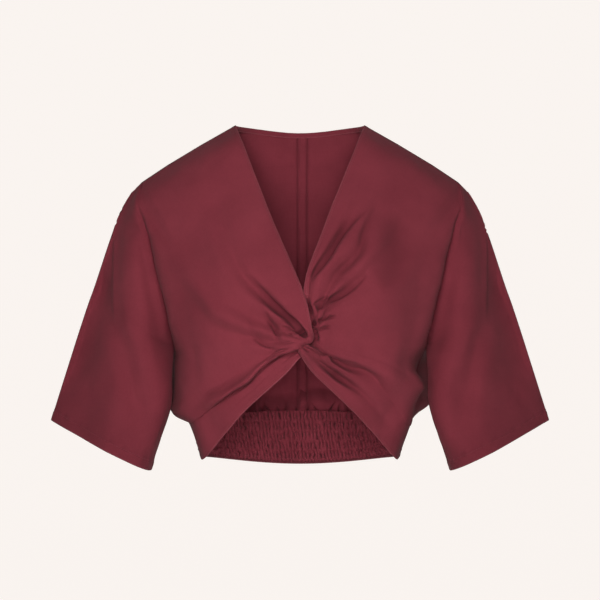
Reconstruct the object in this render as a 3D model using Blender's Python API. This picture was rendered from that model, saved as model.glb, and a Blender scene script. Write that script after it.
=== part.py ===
"""Twist-front crop top with a deep V neck and elbow-length sleeves cut in one with the body.

Metres, +Z up, the front faces -Y, and the origin lies midway between the two neck points of the shoulders.
Each panel is one wall. Its table gives the inner skin, and the outer skin lies one wall outside it.
A half is described with x counted outwards from the centre. Left and right are as seen from the front.
"""

import bpy
import numpy as np

WALL = 0.0015
WAISTBAND_WALL = 0.0014
BINDING_WALL = 0.0011
SEAM_GAP = 0.0003

NECK_HALF_WIDTH = 0.083
BACK_NECK_DEPTH = 0.055
BACK_NECK_DROP = 0.0055
BINDING_HEIGHT = 0.0070
BINDING_REACH = 0.76
BINDING_LEAN = -0.10
BINDING_CLEARANCE = 0.0011
BACK_DEPTH = 0.104
CLOTH_COLOUR = (0.188, 0.030, 0.045, 1.0)
CLOTH_ROUGHNESS = 0.92

# The shoulder seam, from the neck point to the top of the armhole: x, z.
SHOULDER = (
    (0.083, 0.000),
    (0.128, -0.0255),
    (0.172, -0.0520),
    (0.205, -0.0740),
)

# The armhole fold, from the shoulder down to the underarm. The bodice folds over at the ridge, and the
# sleeve starts in the valley behind it: share of the way, ridge x, y, z, valley x, y, z.
ARMHOLE = (
    (0.00, 0.1985, -0.0190, -0.0830, 0.2050, 0.0000, -0.0740),
    (0.12, 0.2045, -0.0330, -0.1010, 0.2085, -0.0290, -0.0985),
    (0.25, 0.1985, -0.0430, -0.1250, 0.2000, -0.0350, -0.1240),
    (0.45, 0.1872, -0.0495, -0.1650, 0.1860, -0.0310, -0.1650),
    (0.70, 0.1755, -0.0520, -0.2160, 0.1725, -0.0260, -0.2150),
    (0.90, 0.1655, -0.0500, -0.2620, 0.1655, -0.0170, -0.2620),
    (1.00, 0.1595, -0.0430, -0.2860, 0.1638, 0.0000, -0.2850),
)

# The sleeve's inner edge below the underarm: share (1 is the underarm, 2 the hem), x, y, z.
SLEEVE_INNER = (
    (1.00, 0.1638, 0.0000, -0.2850),
    (1.08, 0.1646, -0.0120, -0.2985),
    (1.20, 0.1655, -0.0240, -0.3180),
    (1.50, 0.1672, -0.0320, -0.3620),
    (1.75, 0.1812, -0.0260, -0.4050),
    (2.00, 0.1950, -0.0180, -0.4460),
)
# The sleeve's outer seam: share (0 is the top of the armhole), x, z, how far the sleeve swells there, how
# evenly the swell rises (1 is even, less is sooner), how softly it leaves the inner edge, and how soon
# the sleeve's depth leaves that of its inner edge (1 is even, more is sooner).
SLEEVE_OUTER = (
    (0.00, 0.2050, -0.0740, 0.000, 0.80, 1.50, 1.0),
    (0.12, 0.2185, -0.0885, 0.004, 0.80, 1.50, 1.0),
    (0.25, 0.2315, -0.1095, 0.012, 0.80, 1.50, 1.0),
    (0.45, 0.2450, -0.1455, 0.024, 0.80, 1.50, 1.0),
    (0.70, 0.2575, -0.1830, 0.035, 0.80, 1.40, 1.0),
    (0.90, 0.2675, -0.2130, 0.042, 0.76, 1.30, 1.5),
    (1.00, 0.2730, -0.2280, 0.045, 0.72, 1.20, 3.0),
    (1.20, 0.2840, -0.2610, 0.047, 0.64, 1.05, 6.0),
    (1.50, 0.2990, -0.3080, 0.047, 0.60, 1.00, 6.0),
    (1.75, 0.3110, -0.3460, 0.048, 0.60, 1.00, 6.0),
    (2.00, 0.3225, -0.3830, 0.048, 0.60, 1.00, 6.0),
)
# How far the two halves stand apart just below the underarm, and down to which share.
UNDERARM_EASE = 0.0007
UNDERARM_EASE_SHARE = 0.40

# Soft folds that run down a sleeve: share at the top, share at the bottom, place across at the top and
# at the bottom (0 is the inner edge, 1 the outer seam), half width across, height.
SLEEVE_FOLDS = (
    (0.30, 1.50, 0.66, 0.50, 0.10, 0.0050),
    (0.50, 2.00, 0.84, 0.62, 0.09, -0.0050),
    (1.15, 2.00, 0.34, 0.30, 0.10, -0.0030),
)

# The side under the arm: place (1 underarm, 2 top of the waistband, 3 hem), then x and z of the seam,
# x and y of the front's ridge, x and y of the back's.
SIDE_LEFT = (
    (1.00, 0.1638, -0.2850, 0.1595, -0.0430, 0.1600, 0.0430),
    (1.12, 0.1602, -0.2950, 0.1560, -0.0430, 0.1655, 0.0430),
    (1.25, 0.1620, -0.3060, 0.1560, -0.0430, 0.1680, 0.0430),
    (1.50, 0.1640, -0.3300, 0.1560, -0.0430, 0.1700, 0.0430),
    (1.72, 0.1665, -0.3530, 0.1580, -0.0430, 0.1705, 0.0430),
    (1.86, 0.1670, -0.3680, 0.1600, -0.0430, 0.1700, 0.0430),
    (1.94, 0.1590, -0.3765, 0.1545, -0.0430, 0.1580, 0.0440),
    (2.00, 0.1445, -0.3825, 0.1405, -0.0440, 0.1405, 0.0440),
    (2.10, 0.1425, -0.3850, 0.1385, -0.0440, 0.1385, 0.0440),
    (2.50, 0.1355, -0.4055, 0.1315, -0.0430, 0.1315, 0.0430),
    (3.00, 0.1280, -0.4305, 0.1238, -0.0405, 0.1238, 0.0405),
)
SIDE_RIGHT = (
    (1.00, 0.1638, -0.2850, 0.1600, -0.0430, 0.1600, 0.0430),
    (1.18, 0.1545, -0.3040, 0.1470, -0.0450, 0.1670, 0.0440),
    (1.32, 0.1500, -0.3170, 0.1470, -0.0460, 0.1695, 0.0450),
    (1.50, 0.1520, -0.3300, 0.1555, -0.0440, 0.1705, 0.0450),
    (1.62, 0.1530, -0.3390, 0.1585, -0.0430, 0.1705, 0.0450),
    (1.76, 0.1510, -0.3500, 0.1520, -0.0420, 0.1700, 0.0450),
    (1.92, 0.1470, -0.3670, 0.1435, -0.0430, 0.1660, 0.0440),
    (2.00, 0.1440, -0.3825, 0.1400, -0.0440, 0.1405, 0.0440),
    (2.10, 0.1425, -0.3850, 0.1385, -0.0440, 0.1385, 0.0440),
    (2.50, 0.1355, -0.4055, 0.1315, -0.0430, 0.1315, 0.0430),
    (3.00, 0.1280, -0.4305, 0.1238, -0.0405, 0.1238, 0.0405),
)

# How wide the front is where it would meet the back: place along the outer edge, half width.
FRONT_WIDTH = (
    (-1.00, 0.300),
    (-0.30, 0.270),
    (0.00, 0.250),
    (0.25, 0.226),
    (0.45, 0.2075),
    (0.70, 0.188),
    (0.90, 0.173),
    (1.00, 0.168),
    (1.50, 0.166),
    (1.90, 0.163),
    (2.00, 0.1475),
    (2.10, 0.1460),
    (2.50, 0.1390),
    (3.00, 0.1310),
)

# How far the front stands out from the shoulders below the bust: z, depth.
FRONT_DEPTH = (
    (-0.46, 0.088),
    (-0.43, 0.092),
    (-0.38, 0.101),
    (-0.33, 0.112),
    (-0.28, 0.119),
    (-0.20, 0.119),
)

# The front as a fan out of the knot. Each row is a fold line: place where it ends on the outer edge (-1
# neck point, 0 top of the armhole, 1 underarm, 2 waistband, 3 hem), then x, z and height over the body
# at the knot, near it, and half-way out, then the height far out.
FOLDS_LEFT = (
    ("neck_edge", -1.00, -0.0160, -0.2685, 0.009, -0.0060, -0.2210, 0.005, 0.0310, -0.1340, 0.001, 0.000),
    ("strip_mid", -0.88, -0.0140, -0.2725, 0.0096, 0.0050, -0.2285, 0.008, 0.0490, -0.1570, 0.002, 0.000),
    ("strip_edge", -0.70, -0.0120, -0.2755, 0.0096, 0.0160, -0.2365, 0.007, 0.0665, -0.1800, 0.003, 0.001),
    ("deep_crease", -0.55, -0.0105, -0.2765, 0.0088, 0.0220, -0.2420, -0.005, 0.0750, -0.1890, -0.003, 0.000),
    ("ridge_two", -0.36, -0.0090, -0.2775, 0.009, 0.0275, -0.2485, 0.003, 0.0850, -0.2000, 0.002, 0.001),
    ("crease_two", -0.12, -0.0075, -0.2785, 0.0084, 0.0330, -0.2590, -0.002, 0.0985, -0.2190, -0.001, 0.000),
    ("ridge_three", 0.18, -0.0055, -0.2790, 0.009, 0.0365, -0.2680, 0.004, 0.1050, -0.2375, 0.003, 0.001),
    ("crease_three", 0.55, -0.0035, -0.2795, 0.0082, 0.0380, -0.2770, -0.002, 0.1050, -0.2575, -0.002, -0.001),
    ("underarm", 1.00, -0.0020, -0.2805, 0.009, 0.0385, -0.2855, 0.003, 0.1035, -0.2810, 0.002, 0.001),
    ("side", 1.45, -0.0005, -0.2815, 0.008, 0.0385, -0.2930, 0.001, 0.0985, -0.3090, 0.001, 0.002),
    ("soft_trough", 1.75, 0.0005, -0.2820, 0.008, 0.0385, -0.2985, 0.001, 0.0910, -0.3270, 0.000, 0.003),
    ("rim", 1.97, 0.0010, -0.2830, 0.008, 0.0365, -0.3025, 0.005, 0.0830, -0.3420, 0.005, 0.003),
    ("under_rim", 2.03, 0.0010, -0.2832, 0.002, 0.0368, -0.3012, -0.002, 0.0845, -0.3380, -0.001, 0.001),
    ("band_top", 2.10, 0.0005, -0.2855, -0.004, 0.0345, -0.3055, -0.002, 0.0810, -0.3450, 0.000, 0.001),
    ("band_middle", 2.50, -0.0010, -0.2910, -0.005, 0.0275, -0.3130, -0.002, 0.0740, -0.3540, 0.001, 0.001),
    ("hem", 3.00, -0.0025, -0.2960, -0.003, 0.0190, -0.3200, 0.000, 0.0665, -0.3635, 0.001, 0.000),
)
FOLDS_RIGHT = (
    ("neck_edge", -1.00, 0.0110, -0.2575, -0.001, 0.0055, -0.2075, 0.000, 0.0310, -0.1315, 0.001, 0.000),
    ("strip_ridge", -0.88, 0.0120, -0.2590, -0.001, 0.0100, -0.2055, 0.001, 0.0430, -0.1370, 0.002, 0.000),
    ("strip_trough", -0.74, 0.0128, -0.2605, -0.003, 0.0150, -0.2040, -0.003, 0.0550, -0.1435, -0.003, 0.000),
    ("lap_ridge", -0.66, 0.0135, -0.2620, -0.001, 0.0205, -0.2045, 0.002, 0.0625, -0.1465, 0.003, 0.001),
    ("crease_two", -0.46, 0.0155, -0.2655, -0.002, 0.0315, -0.2190, -0.002, 0.0800, -0.1540, -0.003, 0.000),
    ("ridge_two", -0.30, 0.0165, -0.2680, 0.000, 0.0350, -0.2245, 0.002, 0.0890, -0.1670, 0.002, 0.001),
    ("crease_three", -0.12, 0.0175, -0.2705, -0.002, 0.0385, -0.2300, -0.004, 0.0940, -0.1830, -0.002, 0.000),
    ("ridge_three", 0.12, 0.0185, -0.2735, 0.000, 0.0410, -0.2390, 0.003, 0.1040, -0.2070, 0.002, 0.001),
    ("ridge_four", 0.55, 0.0195, -0.2760, 0.000, 0.0430, -0.2560, 0.002, 0.1090, -0.2450, 0.001, 0.000),
    ("underarm", 1.00, 0.0195, -0.2770, -0.001, 0.0440, -0.2720, 0.000, 0.1085, -0.2790, 0.000, 0.000),
    ("side", 1.45, 0.0195, -0.2778, -0.001, 0.0445, -0.2840, 0.002, 0.1035, -0.3000, 0.003, 0.002),
    ("fullness", 1.78, 0.0190, -0.2785, 0.000, 0.0425, -0.2900, 0.003, 0.0975, -0.3100, 0.005, 0.005),
    ("rim", 1.97, 0.0185, -0.2790, 0.000, 0.0395, -0.2940, 0.002, 0.0910, -0.3165, 0.003, 0.002),
    ("valley", 2.04, 0.0168, -0.2828, -0.002, 0.0380, -0.2965, -0.003, 0.0895, -0.3205, -0.001, 0.001),
    ("strand_one", 2.22, 0.0112, -0.2832, 0.014, 0.0335, -0.2985, 0.005, 0.0810, -0.3320, 0.002, 0.001),
    ("main_crease", 2.50, 0.0060, -0.2855, 0.011, 0.0280, -0.3065, -0.002, 0.0750, -0.3410, -0.003, -0.001),
    ("strand_two", 2.72, 0.0010, -0.2875, 0.015, 0.0215, -0.3100, 0.006, 0.0700, -0.3500, 0.002, 0.001),
    ("hem", 3.00, -0.0015, -0.2910, 0.011, 0.0145, -0.3155, 0.003, 0.0660, -0.3655, 0.000, 0.000),
)

# How far the upper back stands out below the shoulders, near them and lower down.
BACK_RISE_NEAR = 0.040
BACK_RISE_NEAR_DROP = 0.060
BACK_RISE_LOW_DROP = 0.180
NECK_FADE_DROP = 0.080
BACK_WIDTH = (
    (0.00, 0.260),
    (0.25, 0.226),
    (0.45, 0.210),
    (0.70, 0.192),
    (1.00, 0.172),
    (1.12, 0.177),
    (1.25, 0.180),
    (1.50, 0.182),
    (1.86, 0.182),
    (2.00, 0.149),
)
# Gathers that the waistband draws into each half of the back: place across, height, reach upwards.
BACK_GATHERS = (
    (0.055, 0.0030, 0.50),
    (0.150, 0.0040, 0.75),
    (0.245, 0.0032, 0.45),
    (0.345, 0.0042, 0.85),
    (0.440, 0.0034, 0.55),
    (0.535, 0.0040, 0.70),
    (0.630, 0.0030, 0.50),
    (0.725, 0.0026, 0.75),
    (0.815, 0.0018, 0.45),
)
GATHER_HALF_WIDTH = 0.030
BACK_RIDGE_ACROSS = 0.90
BACK_HEM_RISE = 0.008

# The smocked back of the waistband: share down, x at the side, z at the side, z at the centre, depth.
WAISTBAND = (
    (0.00, 0.1415, -0.3805, -0.3740, 0.0860),
    (0.50, 0.1350, -0.4060, -0.4100, 0.0880),
    (1.00, 0.1280, -0.4300, -0.4450, 0.0870),
)
BACK_OVER_WAISTBAND = 0.0024
BACK_BLOUSING = 0.006
WAISTBAND_PUCKERS = 27
WAISTBAND_ROWS = 5
WAISTBAND_PLAIN_SHARE = 0.88
PUCKER_HEIGHT = 0.0016
PUCKER_REACH = 0.99

ACROSS_FAN = (0.00, 0.02, 0.22, 0.46, 0.70, 0.92, 1.00)
KNOT_TUCK_LENGTH = 0.0030
KNOT_TUCK_DEPTH = 0.0035
KNOT_THINNING = 0.0004
KNOT_THINNING_REACH = 0.35
FAR_SHARE = 0.53
SHOULDER_TURN_SHARE = 0.90
SHOULDER_FADE = 0.12


def through(knots, values, at):
    """The smooth curve through values, which are rows of numbers at rising knots, read at each place."""
    knots = np.asarray(knots, float)
    values = np.asarray(values, float)
    at = np.clip(np.asarray(at, float), knots[0], knots[-1])
    spans = np.diff(knots)
    slopes = np.diff(values, axis=0) / spans[:, None]
    tangents = np.empty_like(values)
    tangents[0] = slopes[0]
    tangents[-1] = slopes[-1]
    before = spans[:-1, None]
    after = spans[1:, None]
    tangents[1:-1] = (after * slopes[:-1] + before * slopes[1:]) / (before + after)
    index = np.clip(np.searchsorted(knots, at, side="right") - 1, 0, len(spans) - 1)
    span = spans[index][:, None]
    share = ((at - knots[index]) / spans[index])[:, None]
    square = share**2
    cube = share**3
    return (
        (2 * cube - 3 * square + 1) * values[index]
        + (cube - 2 * square + share) * span * tangents[index]
        + (3 * square - 2 * cube) * values[index + 1]
        + (cube - square) * span * tangents[index + 1]
    )


def column(table, place, at):
    """One column of a table, read through the table's first column."""
    rows = np.array([row[place] for row in table], float)[:, None]
    at = np.asarray(at, float)
    return through([row[0] for row in table], rows, at.ravel())[:, 0].reshape(at.shape)


def eased(share):
    share = np.clip(share, 0, 1)
    return share * share * (3 - 2 * share)


def shoulder_height(x):
    """z of the shoulder seam over this x, and 0 inside the neck."""
    return np.interp(x, [row[0] for row in SHOULDER], [row[1] for row in SHOULDER])


def narrowing(x, half_width, roundness):
    """How far a section stands out at x, as a share of its depth at the centre."""
    share = np.clip(np.abs(x) / half_width, 0, 1)
    return (1 - share**roundness) ** 0.45


def front_depth(x, z, half_width):
    """y of the body's front, from the drop under the shoulder and the width of the section."""
    drop = np.maximum(shoulder_height(np.abs(x)) - z, 0)
    near = np.clip(drop / 0.055, 0, 1)
    high = 0.043 * np.sqrt(1 - (1 - near) ** 2) + 0.076 * eased(drop / 0.24)
    low = column(FRONT_DEPTH, 1, np.clip(z, FRONT_DEPTH[0][0], FRONT_DEPTH[-1][0]))
    return -np.minimum(high, low) * narrowing(x, half_width, 3.0)


def front_edge(side_table, places):
    """The ridge and the edge of the front at each place: the shoulder, the armhole, then the side."""
    ridge = np.empty((len(places), 3))
    edge = np.empty((len(places), 3))
    for row, place in enumerate(places):
        if place < 0:
            x = float(np.interp(place, [-1, 0], [SHOULDER[0][0], SHOULDER[-1][0]]))
            edge[row] = (x, -SEAM_GAP / 2, shoulder_height(x))
            ridge[row] = np.nan
        elif place < 1:
            values = [float(column(ARMHOLE, at, place)) for at in range(1, 7)]
            ridge[row] = values[:3]
            edge[row] = values[3:]
            edge[row, 1] = min(edge[row, 1], 0) - SEAM_GAP / 2
        else:
            x, z, ridge_x, ridge_y = [float(column(side_table, at, place)) for at in range(1, 5)]
            ridge[row] = (ridge_x, ridge_y, z)
            edge[row] = (x, -SEAM_GAP / 2, z)
    return ridge, edge


def front_points(folds, side_table, places, across):
    """Rows of points from the knot to the outer edge, at these places round the edge."""
    values = through([row[1] for row in folds], [row[2:] for row in folds], places)
    ridge, edge = front_edge(side_table, places)
    half_width = column(FRONT_WIDTH, 1, places)
    rows = []
    for row, place in enumerate(places):
        start, near, middle = (values[row, at : at + 3] for at in (0, 3, 6))
        if place < 0:
            turn = middle[:2] + SHOULDER_TURN_SHARE * (edge[row, [0, 2]] - middle[:2])
            ridge_point = np.array([turn[0], front_depth(turn[0], turn[1], half_width[row]), turn[1]])
            fade = eased(-place / SHOULDER_FADE)
            ridge_point = fade * ridge_point + (1 - fade) * np.array(ARMHOLE[0][1:4])
        else:
            ridge_point = ridge[row]
        far = middle[:2] + FAR_SHARE * (ridge_point[[0, 2]] - middle[:2])
        control = []
        for point, height in (
            (start, start[2]),
            (near, near[2]),
            (middle, middle[2]),
            (far, values[row, 9]),
        ):
            y = float(front_depth(point[0], point[1], half_width[row])) - height
            control.append((point[0], y, point[1]))
        inwards = np.array(control[0]) - np.array(control[1])
        inwards /= np.linalg.norm(inwards)
        tuck = np.array(control[0]) + KNOT_TUCK_LENGTH * inwards + (0, KNOT_TUCK_DEPTH, 0)
        rows.append(through(ACROSS_FAN, [tuck, *control, ridge_point, edge[row]], across))
    return np.array(rows)


def sleeve_points(facing, places, across):
    """Half of a sleeve's tube, from its inner edge to its outer seam. Facing is -1 in front, 1 behind."""
    turn = (1 - np.cos(np.pi * across)) / 2
    rows = []
    for place in places:
        outer_x, outer_z, swell, sooner, softness, lean = [
            float(column(SLEEVE_OUTER, at, place)) for at in range(1, 7)
        ]
        round_out = np.clip(np.sin(np.pi * turn**sooner), 0, 1) ** softness
        if place < 1:
            inner_x, inner_y, inner_z = [float(column(ARMHOLE, at, place)) for at in range(4, 7)]
            inner_y = -facing * min(inner_y, 0)
        else:
            inner_x, inner_y, inner_z = [float(column(SLEEVE_INNER, at, place)) for at in range(1, 4)]
        fold = np.zeros_like(across)
        for top, bottom, top_across, bottom_across, half_width, height in SLEEVE_FOLDS:
            share = (place - top) / (bottom - top)
            fade = eased(share / 0.3) * (1 - 0.6 * eased((share - 0.5) / 0.5))
            centre = top_across + (bottom_across - top_across) * share
            fold += height * fade * np.exp(-(((across - centre) / half_width) ** 2))
        ease = UNDERARM_EASE * np.sin(np.pi * np.clip((place - 1) / UNDERARM_EASE_SHARE, 0, 1))
        depth = SEAM_GAP / 2 + ease * (1 - turn) + (swell + fold) * round_out
        rows.append(np.column_stack([
            inner_x + (outer_x - inner_x) * turn,
            inner_y * (1 - turn) ** lean + facing * depth,
            inner_z + (outer_z - inner_z) * turn,
        ]))
    return np.array(rows)


def back_top(x):
    """y and z of the back's top edge: the neckline, then the shoulder seam."""
    inside = np.clip(np.abs(x) / NECK_HALF_WIDTH, 0, 1)
    y = BACK_NECK_DEPTH * (1 - inside**2.4) ** 0.6
    z = shoulder_height(np.abs(x)) - BACK_NECK_DROP * (1 - eased(inside))
    return y + SEAM_GAP / 2, z


def back_body(x, place, drop, half_width):
    """y of the upper back, from the drop under its top edge."""
    top_y = back_top(x)[0]
    near = np.clip(drop / BACK_RISE_NEAR_DROP, 0, 1)
    rise = BACK_RISE_NEAR * np.sqrt(1 - (1 - near) ** 2)
    rise = rise + (BACK_DEPTH - BACK_RISE_NEAR) * eased(drop / BACK_RISE_LOW_DROP)
    rise = rise * narrowing(x, half_width, 3.0)
    neck = top_y * (1 - eased(drop / NECK_FADE_DROP))
    full = (neck**3 + rise**3) ** (1 / 3)
    waist_share = eased((place - 1.75) / 0.25)
    side_x, depth = WAISTBAND[0][1], WAISTBAND[0][4]
    waist = depth * narrowing(x * side_x / (side_x + BACK_OVER_WAISTBAND), side_x, 2.6) + BACK_OVER_WAISTBAND
    blousing = BACK_BLOUSING * np.sin(np.pi * np.clip((place - 1.45) / 0.55, 0, 1))
    return full * (1 - waist_share) + waist * waist_share + blousing * narrowing(x, half_width, 3.0)


def back_gathers(place, across):
    """How far the gathers over the waistband stand out."""
    gathers = np.zeros_like(across)
    for centre, height, reach in BACK_GATHERS:
        rise = eased((place - 1 - (1 - reach)) / reach)
        gathers += height * rise * np.exp(-(((across - centre) / GATHER_HALF_WIDTH) ** 2))
    return gathers


def back_points(side_table, places, across):
    """The upper back: rows of points from the centre to the outer edge."""
    rows = []
    inside = across <= BACK_RIDGE_ACROSS
    share = np.minimum(across / BACK_RIDGE_ACROSS, 1)
    for place in places:
        if place <= 1:
            values = [float(column(ARMHOLE, at, place)) for at in range(1, 7)]
            ridge = np.array([values[0], -values[1], values[2]])
            edge = np.array([values[3], max(-values[4], 0) + SEAM_GAP / 2, values[5]])
            centre_z = edge[2]
        else:
            x, z, ridge_x, ridge_y = [float(column(side_table, at, place)) for at in (1, 2, 5, 6)]
            ridge = np.array([ridge_x, ridge_y, z])
            edge = np.array([x, SEAM_GAP / 2, z])
            centre_z = z + BACK_HEM_RISE * (place - 1)
        x = share * (ridge[0] if place > 0 else edge[0])
        top_y, top_z = back_top(x)
        z = centre_z + (edge[2] - centre_z) * share**2
        z = z + (top_z - SHOULDER[-1][1]) * (1 - min(place, 1.0))
        if place == 0:
            rows.append(np.column_stack([x, top_y, top_z]))
            continue
        half_width = float(column(BACK_WIDTH, 1, place))
        y = back_body(x, place, top_z - z, half_width) + back_gathers(place, across)
        ridge[2] = z[inside][-1]
        close = eased((across - 0.66) / (BACK_RIDGE_ACROSS - 0.66))
        y = y + (ridge[1] - y[inside][-1]) * close
        points = np.column_stack([x, y, z])
        beyond = ((across[~inside] - BACK_RIDGE_ACROSS) / (1 - BACK_RIDGE_ACROSS))[:, None]
        points[~inside] = ridge + (edge - ridge) * beyond
        rows.append(points)
    return np.array(rows)


def waistband_points(places, across):
    """The smocked back of the waistband, from the wearer's one side to the other."""
    rows = []
    shares = [row[0] for row in WAISTBAND]
    for place in places:
        side_x, side_z, centre_z, depth = through(shares, [row[1:] for row in WAISTBAND], [place])[0]
        turn = np.sin(across * np.pi / 2)
        x = side_x * turn
        z = centre_z + (side_z - centre_z) * turn**2
        y = depth * narrowing(x, side_x + 1e-9, 2.6) + SEAM_GAP / 2
        rows.append(np.column_stack([x, y, z]))
    return np.array(rows)


def wall(name, points, faces, thickness, flat_normals, raised=None):
    """A closed wall on one skin: the inner skin, the outer skin a thickness outside it, and the edges.

    flat_normals gives the axes that a point's offset leaves out, so that walls meet flat at a seam.
    raised adds to the thickness at each point, or takes from it.
    """
    points = np.asarray(points, float)
    normals = np.zeros_like(points)
    for face in faces:
        corners = points[list(face)]
        normal = np.cross(corners[1] - corners[0], corners[2] - corners[0])
        if len(face) == 4:
            normal = normal + np.cross(corners[2] - corners[0], corners[3] - corners[0])
        for corner in face:
            normals[corner] += normal
    for point, axes in flat_normals.items():
        for axis in axes:
            normals[point, axis] = 0
    normals /= np.linalg.norm(normals, axis=1, keepdims=True)
    height = np.full(len(points), thickness)
    if raised is not None:
        height = height + raised
    outer = points + normals * height[:, None]
    count = len(points)
    all_faces = [tuple(corner + count for corner in face) for face in faces]
    all_faces += [tuple(reversed(face)) for face in faces]
    edges = {}
    for face in faces:
        for first, second in zip(face, face[1:] + face[:1]):
            edges[(first, second)] = True
    for first, second in edges:
        if (second, first) not in edges:
            all_faces.append((first, second, second + count, first + count))
    mesh = bpy.data.meshes.new(name)
    mesh.from_pydata(np.vstack([points, outer]).tolist(), [], all_faces)
    mesh.validate()
    mesh.shade_smooth()
    made = bpy.data.objects.new(name, mesh)
    material = bpy.data.materials.new(name + "_cloth")
    material.use_nodes = True
    shader = material.node_tree.nodes["Principled BSDF"]
    shader.inputs["Base Color"].default_value = CLOTH_COLOUR
    shader.inputs["Roughness"].default_value = CLOTH_ROUGHNESS
    mesh.materials.append(material)
    bpy.context.scene.collection.objects.link(made)
    return made


class Skin:
    """Points and faces of one panel, put together from grids that share edges."""

    def __init__(self, mirrored, faces_back):
        self.points = []
        self.faces = []
        self.flat = {}
        self.sign = -1 if mirrored else 1
        self.reverse = mirrored == faces_back

    def grid(self, rows, joined=None):
        """Adds a grid. joined gives the index of a point that is already there, or -1."""
        index = np.empty(rows.shape[:2], int)
        for place in np.ndindex(*index.shape):
            if joined is not None and joined[place] >= 0:
                index[place] = joined[place]
                continue
            index[place] = len(self.points)
            x, y, z = rows[place]
            self.points.append((self.sign * x, y, z))
        for row, across in np.ndindex(index.shape[0] - 1, index.shape[1] - 1):
            first = index[row, across : across + 2].tolist()
            second = index[row + 1, across : across + 2].tolist()
            face = [*first, *reversed(second)]
            if self.reverse:
                face.reverse()
            face = [corner for at, corner in enumerate(face) if corner != face[at - 1]]
            if len(face) > 2:
                self.faces.append(tuple(face))
        return index

    def flatten(self, indexes, axis):
        """Leaves one axis out of the offset of these points."""
        for point in np.ravel(indexes):
            self.flat[int(point)] = self.flat.get(int(point), ()) + (axis,)


def even(first, last, steps):
    return np.linspace(first, last, steps + 1)


def panel_with_sleeve(mirrored, faces_back, body, sleeve, body_places):
    """A body panel and its half of the sleeve as one skin, open along the slit under the arm."""
    skin = Skin(mirrored, faces_back)
    body_index = skin.grid(body)
    first = int(np.argmin(np.abs(body_places)))
    last = int(np.argmin(np.abs(body_places - 1)))
    armhole = body_index[first : last + 1, -1]
    joined = np.full(sleeve.shape[:2], -1)
    joined[: len(armhole), 0] = armhole
    joined[0, :] = armhole[0]
    sleeve_index = skin.grid(sleeve, joined)
    skin.flatten(body_index[last:, -1], Y_AXIS)
    skin.flatten(sleeve_index[:, -1], Y_AXIS)
    skin.flatten(sleeve_index[len(armhole) :, 0], Y_AXIS)
    return skin, body_index


X_AXIS = 0
Y_AXIS = 1
Z_AXIS = 2
ARMHOLE_PLACES = np.array([0, 0.05, 0.12, 0.25, 0.37, 0.50, 0.62, 0.75, 0.88, 1.0])
SLEEVE_PLACES = np.concatenate([ARMHOLE_PLACES, even(1, 2, 8)[1:]])
SLEEVE_ACROSS = np.concatenate([[0.0], even(0.22, 1, 7)])
UPPER_FRONT_PLACES = np.concatenate([even(-1, 0, 15)[:-1], ARMHOLE_PLACES, even(1, 1.9, 6)[1:]])
FRONT_LEFT_PLACES = np.concatenate([UPPER_FRONT_PLACES, [1.97, 2.03, 2.10, 2.30, 2.50, 2.75, 3.0]])
FRONT_RIGHT_PLACES = np.concatenate([
    UPPER_FRONT_PLACES,
    [1.97, 2.04, 2.13, 2.22, 2.36, 2.50, 2.61, 2.72, 2.86, 3.0],
])
FRONT_ACROSS = np.concatenate([
    [0.0, 0.02],
    even(0.02, 0.22, 4)[1:],
    even(0.22, 0.46, 4)[1:],
    even(0.46, 0.92, 5)[1:],
    [0.96, 1.0],
])
BACK_PLACES = np.concatenate([ARMHOLE_PLACES, even(1, 2, 7)[1:]])
NECK_POINT_ACROSS = BACK_RIDGE_ACROSS * NECK_HALF_WIDTH / SHOULDER[-1][0]
BACK_ACROSS = np.concatenate([
    even(0, NECK_POINT_ACROSS, 12),
    even(NECK_POINT_ACROSS, BACK_RIDGE_ACROSS, 15)[1:],
    [0.95, 1.0],
])


def build_fronts():
    """Each front with its half of the sleeve, and with the fold over the lower edge."""
    for name, mirrored, folds, side_table, places in (
        ("front_left", True, FOLDS_LEFT, SIDE_LEFT, FRONT_LEFT_PLACES),
        ("front_right", False, FOLDS_RIGHT, SIDE_RIGHT, FRONT_RIGHT_PLACES),
    ):
        body = front_points(folds, side_table, places, FRONT_ACROSS)
        sleeve = sleeve_points(-1, SLEEVE_PLACES, SLEEVE_ACROSS)
        skin, index = panel_with_sleeve(mirrored, False, body, sleeve, places)
        top_of_armhole = int(np.argmin(np.abs(places)))
        skin.flatten(index[: top_of_armhole + 1, -1], Y_AXIS)
        thinned = np.zeros(len(skin.points))
        thinned[index] = -KNOT_THINNING * (1 - eased(FRONT_ACROSS / KNOT_THINNING_REACH))
        wall(name, skin.points, skin.faces, WALL, skin.flat, thinned)


def build_backs():
    neck_column = int(np.argmin(np.abs(BACK_ACROSS - NECK_POINT_ACROSS)))
    for name, mirrored, side_table in (
        ("back_left", True, SIDE_LEFT),
        ("back_right", False, SIDE_RIGHT),
    ):
        body = back_points(side_table, BACK_PLACES, BACK_ACROSS)
        body[:, 0, 0] = SEAM_GAP / 2
        body[-1, :, 2] += SEAM_GAP / 2
        sleeve = sleeve_points(1, SLEEVE_PLACES, SLEEVE_ACROSS)
        skin, index = panel_with_sleeve(mirrored, True, body, sleeve, BACK_PLACES)
        skin.flatten(index[0, neck_column:], Y_AXIS)
        skin.flatten(index[:, 0], X_AXIS)
        skin.flatten(index[-1], Z_AXIS)
        wall(name, skin.points, skin.faces, WALL, skin.flat)


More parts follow.
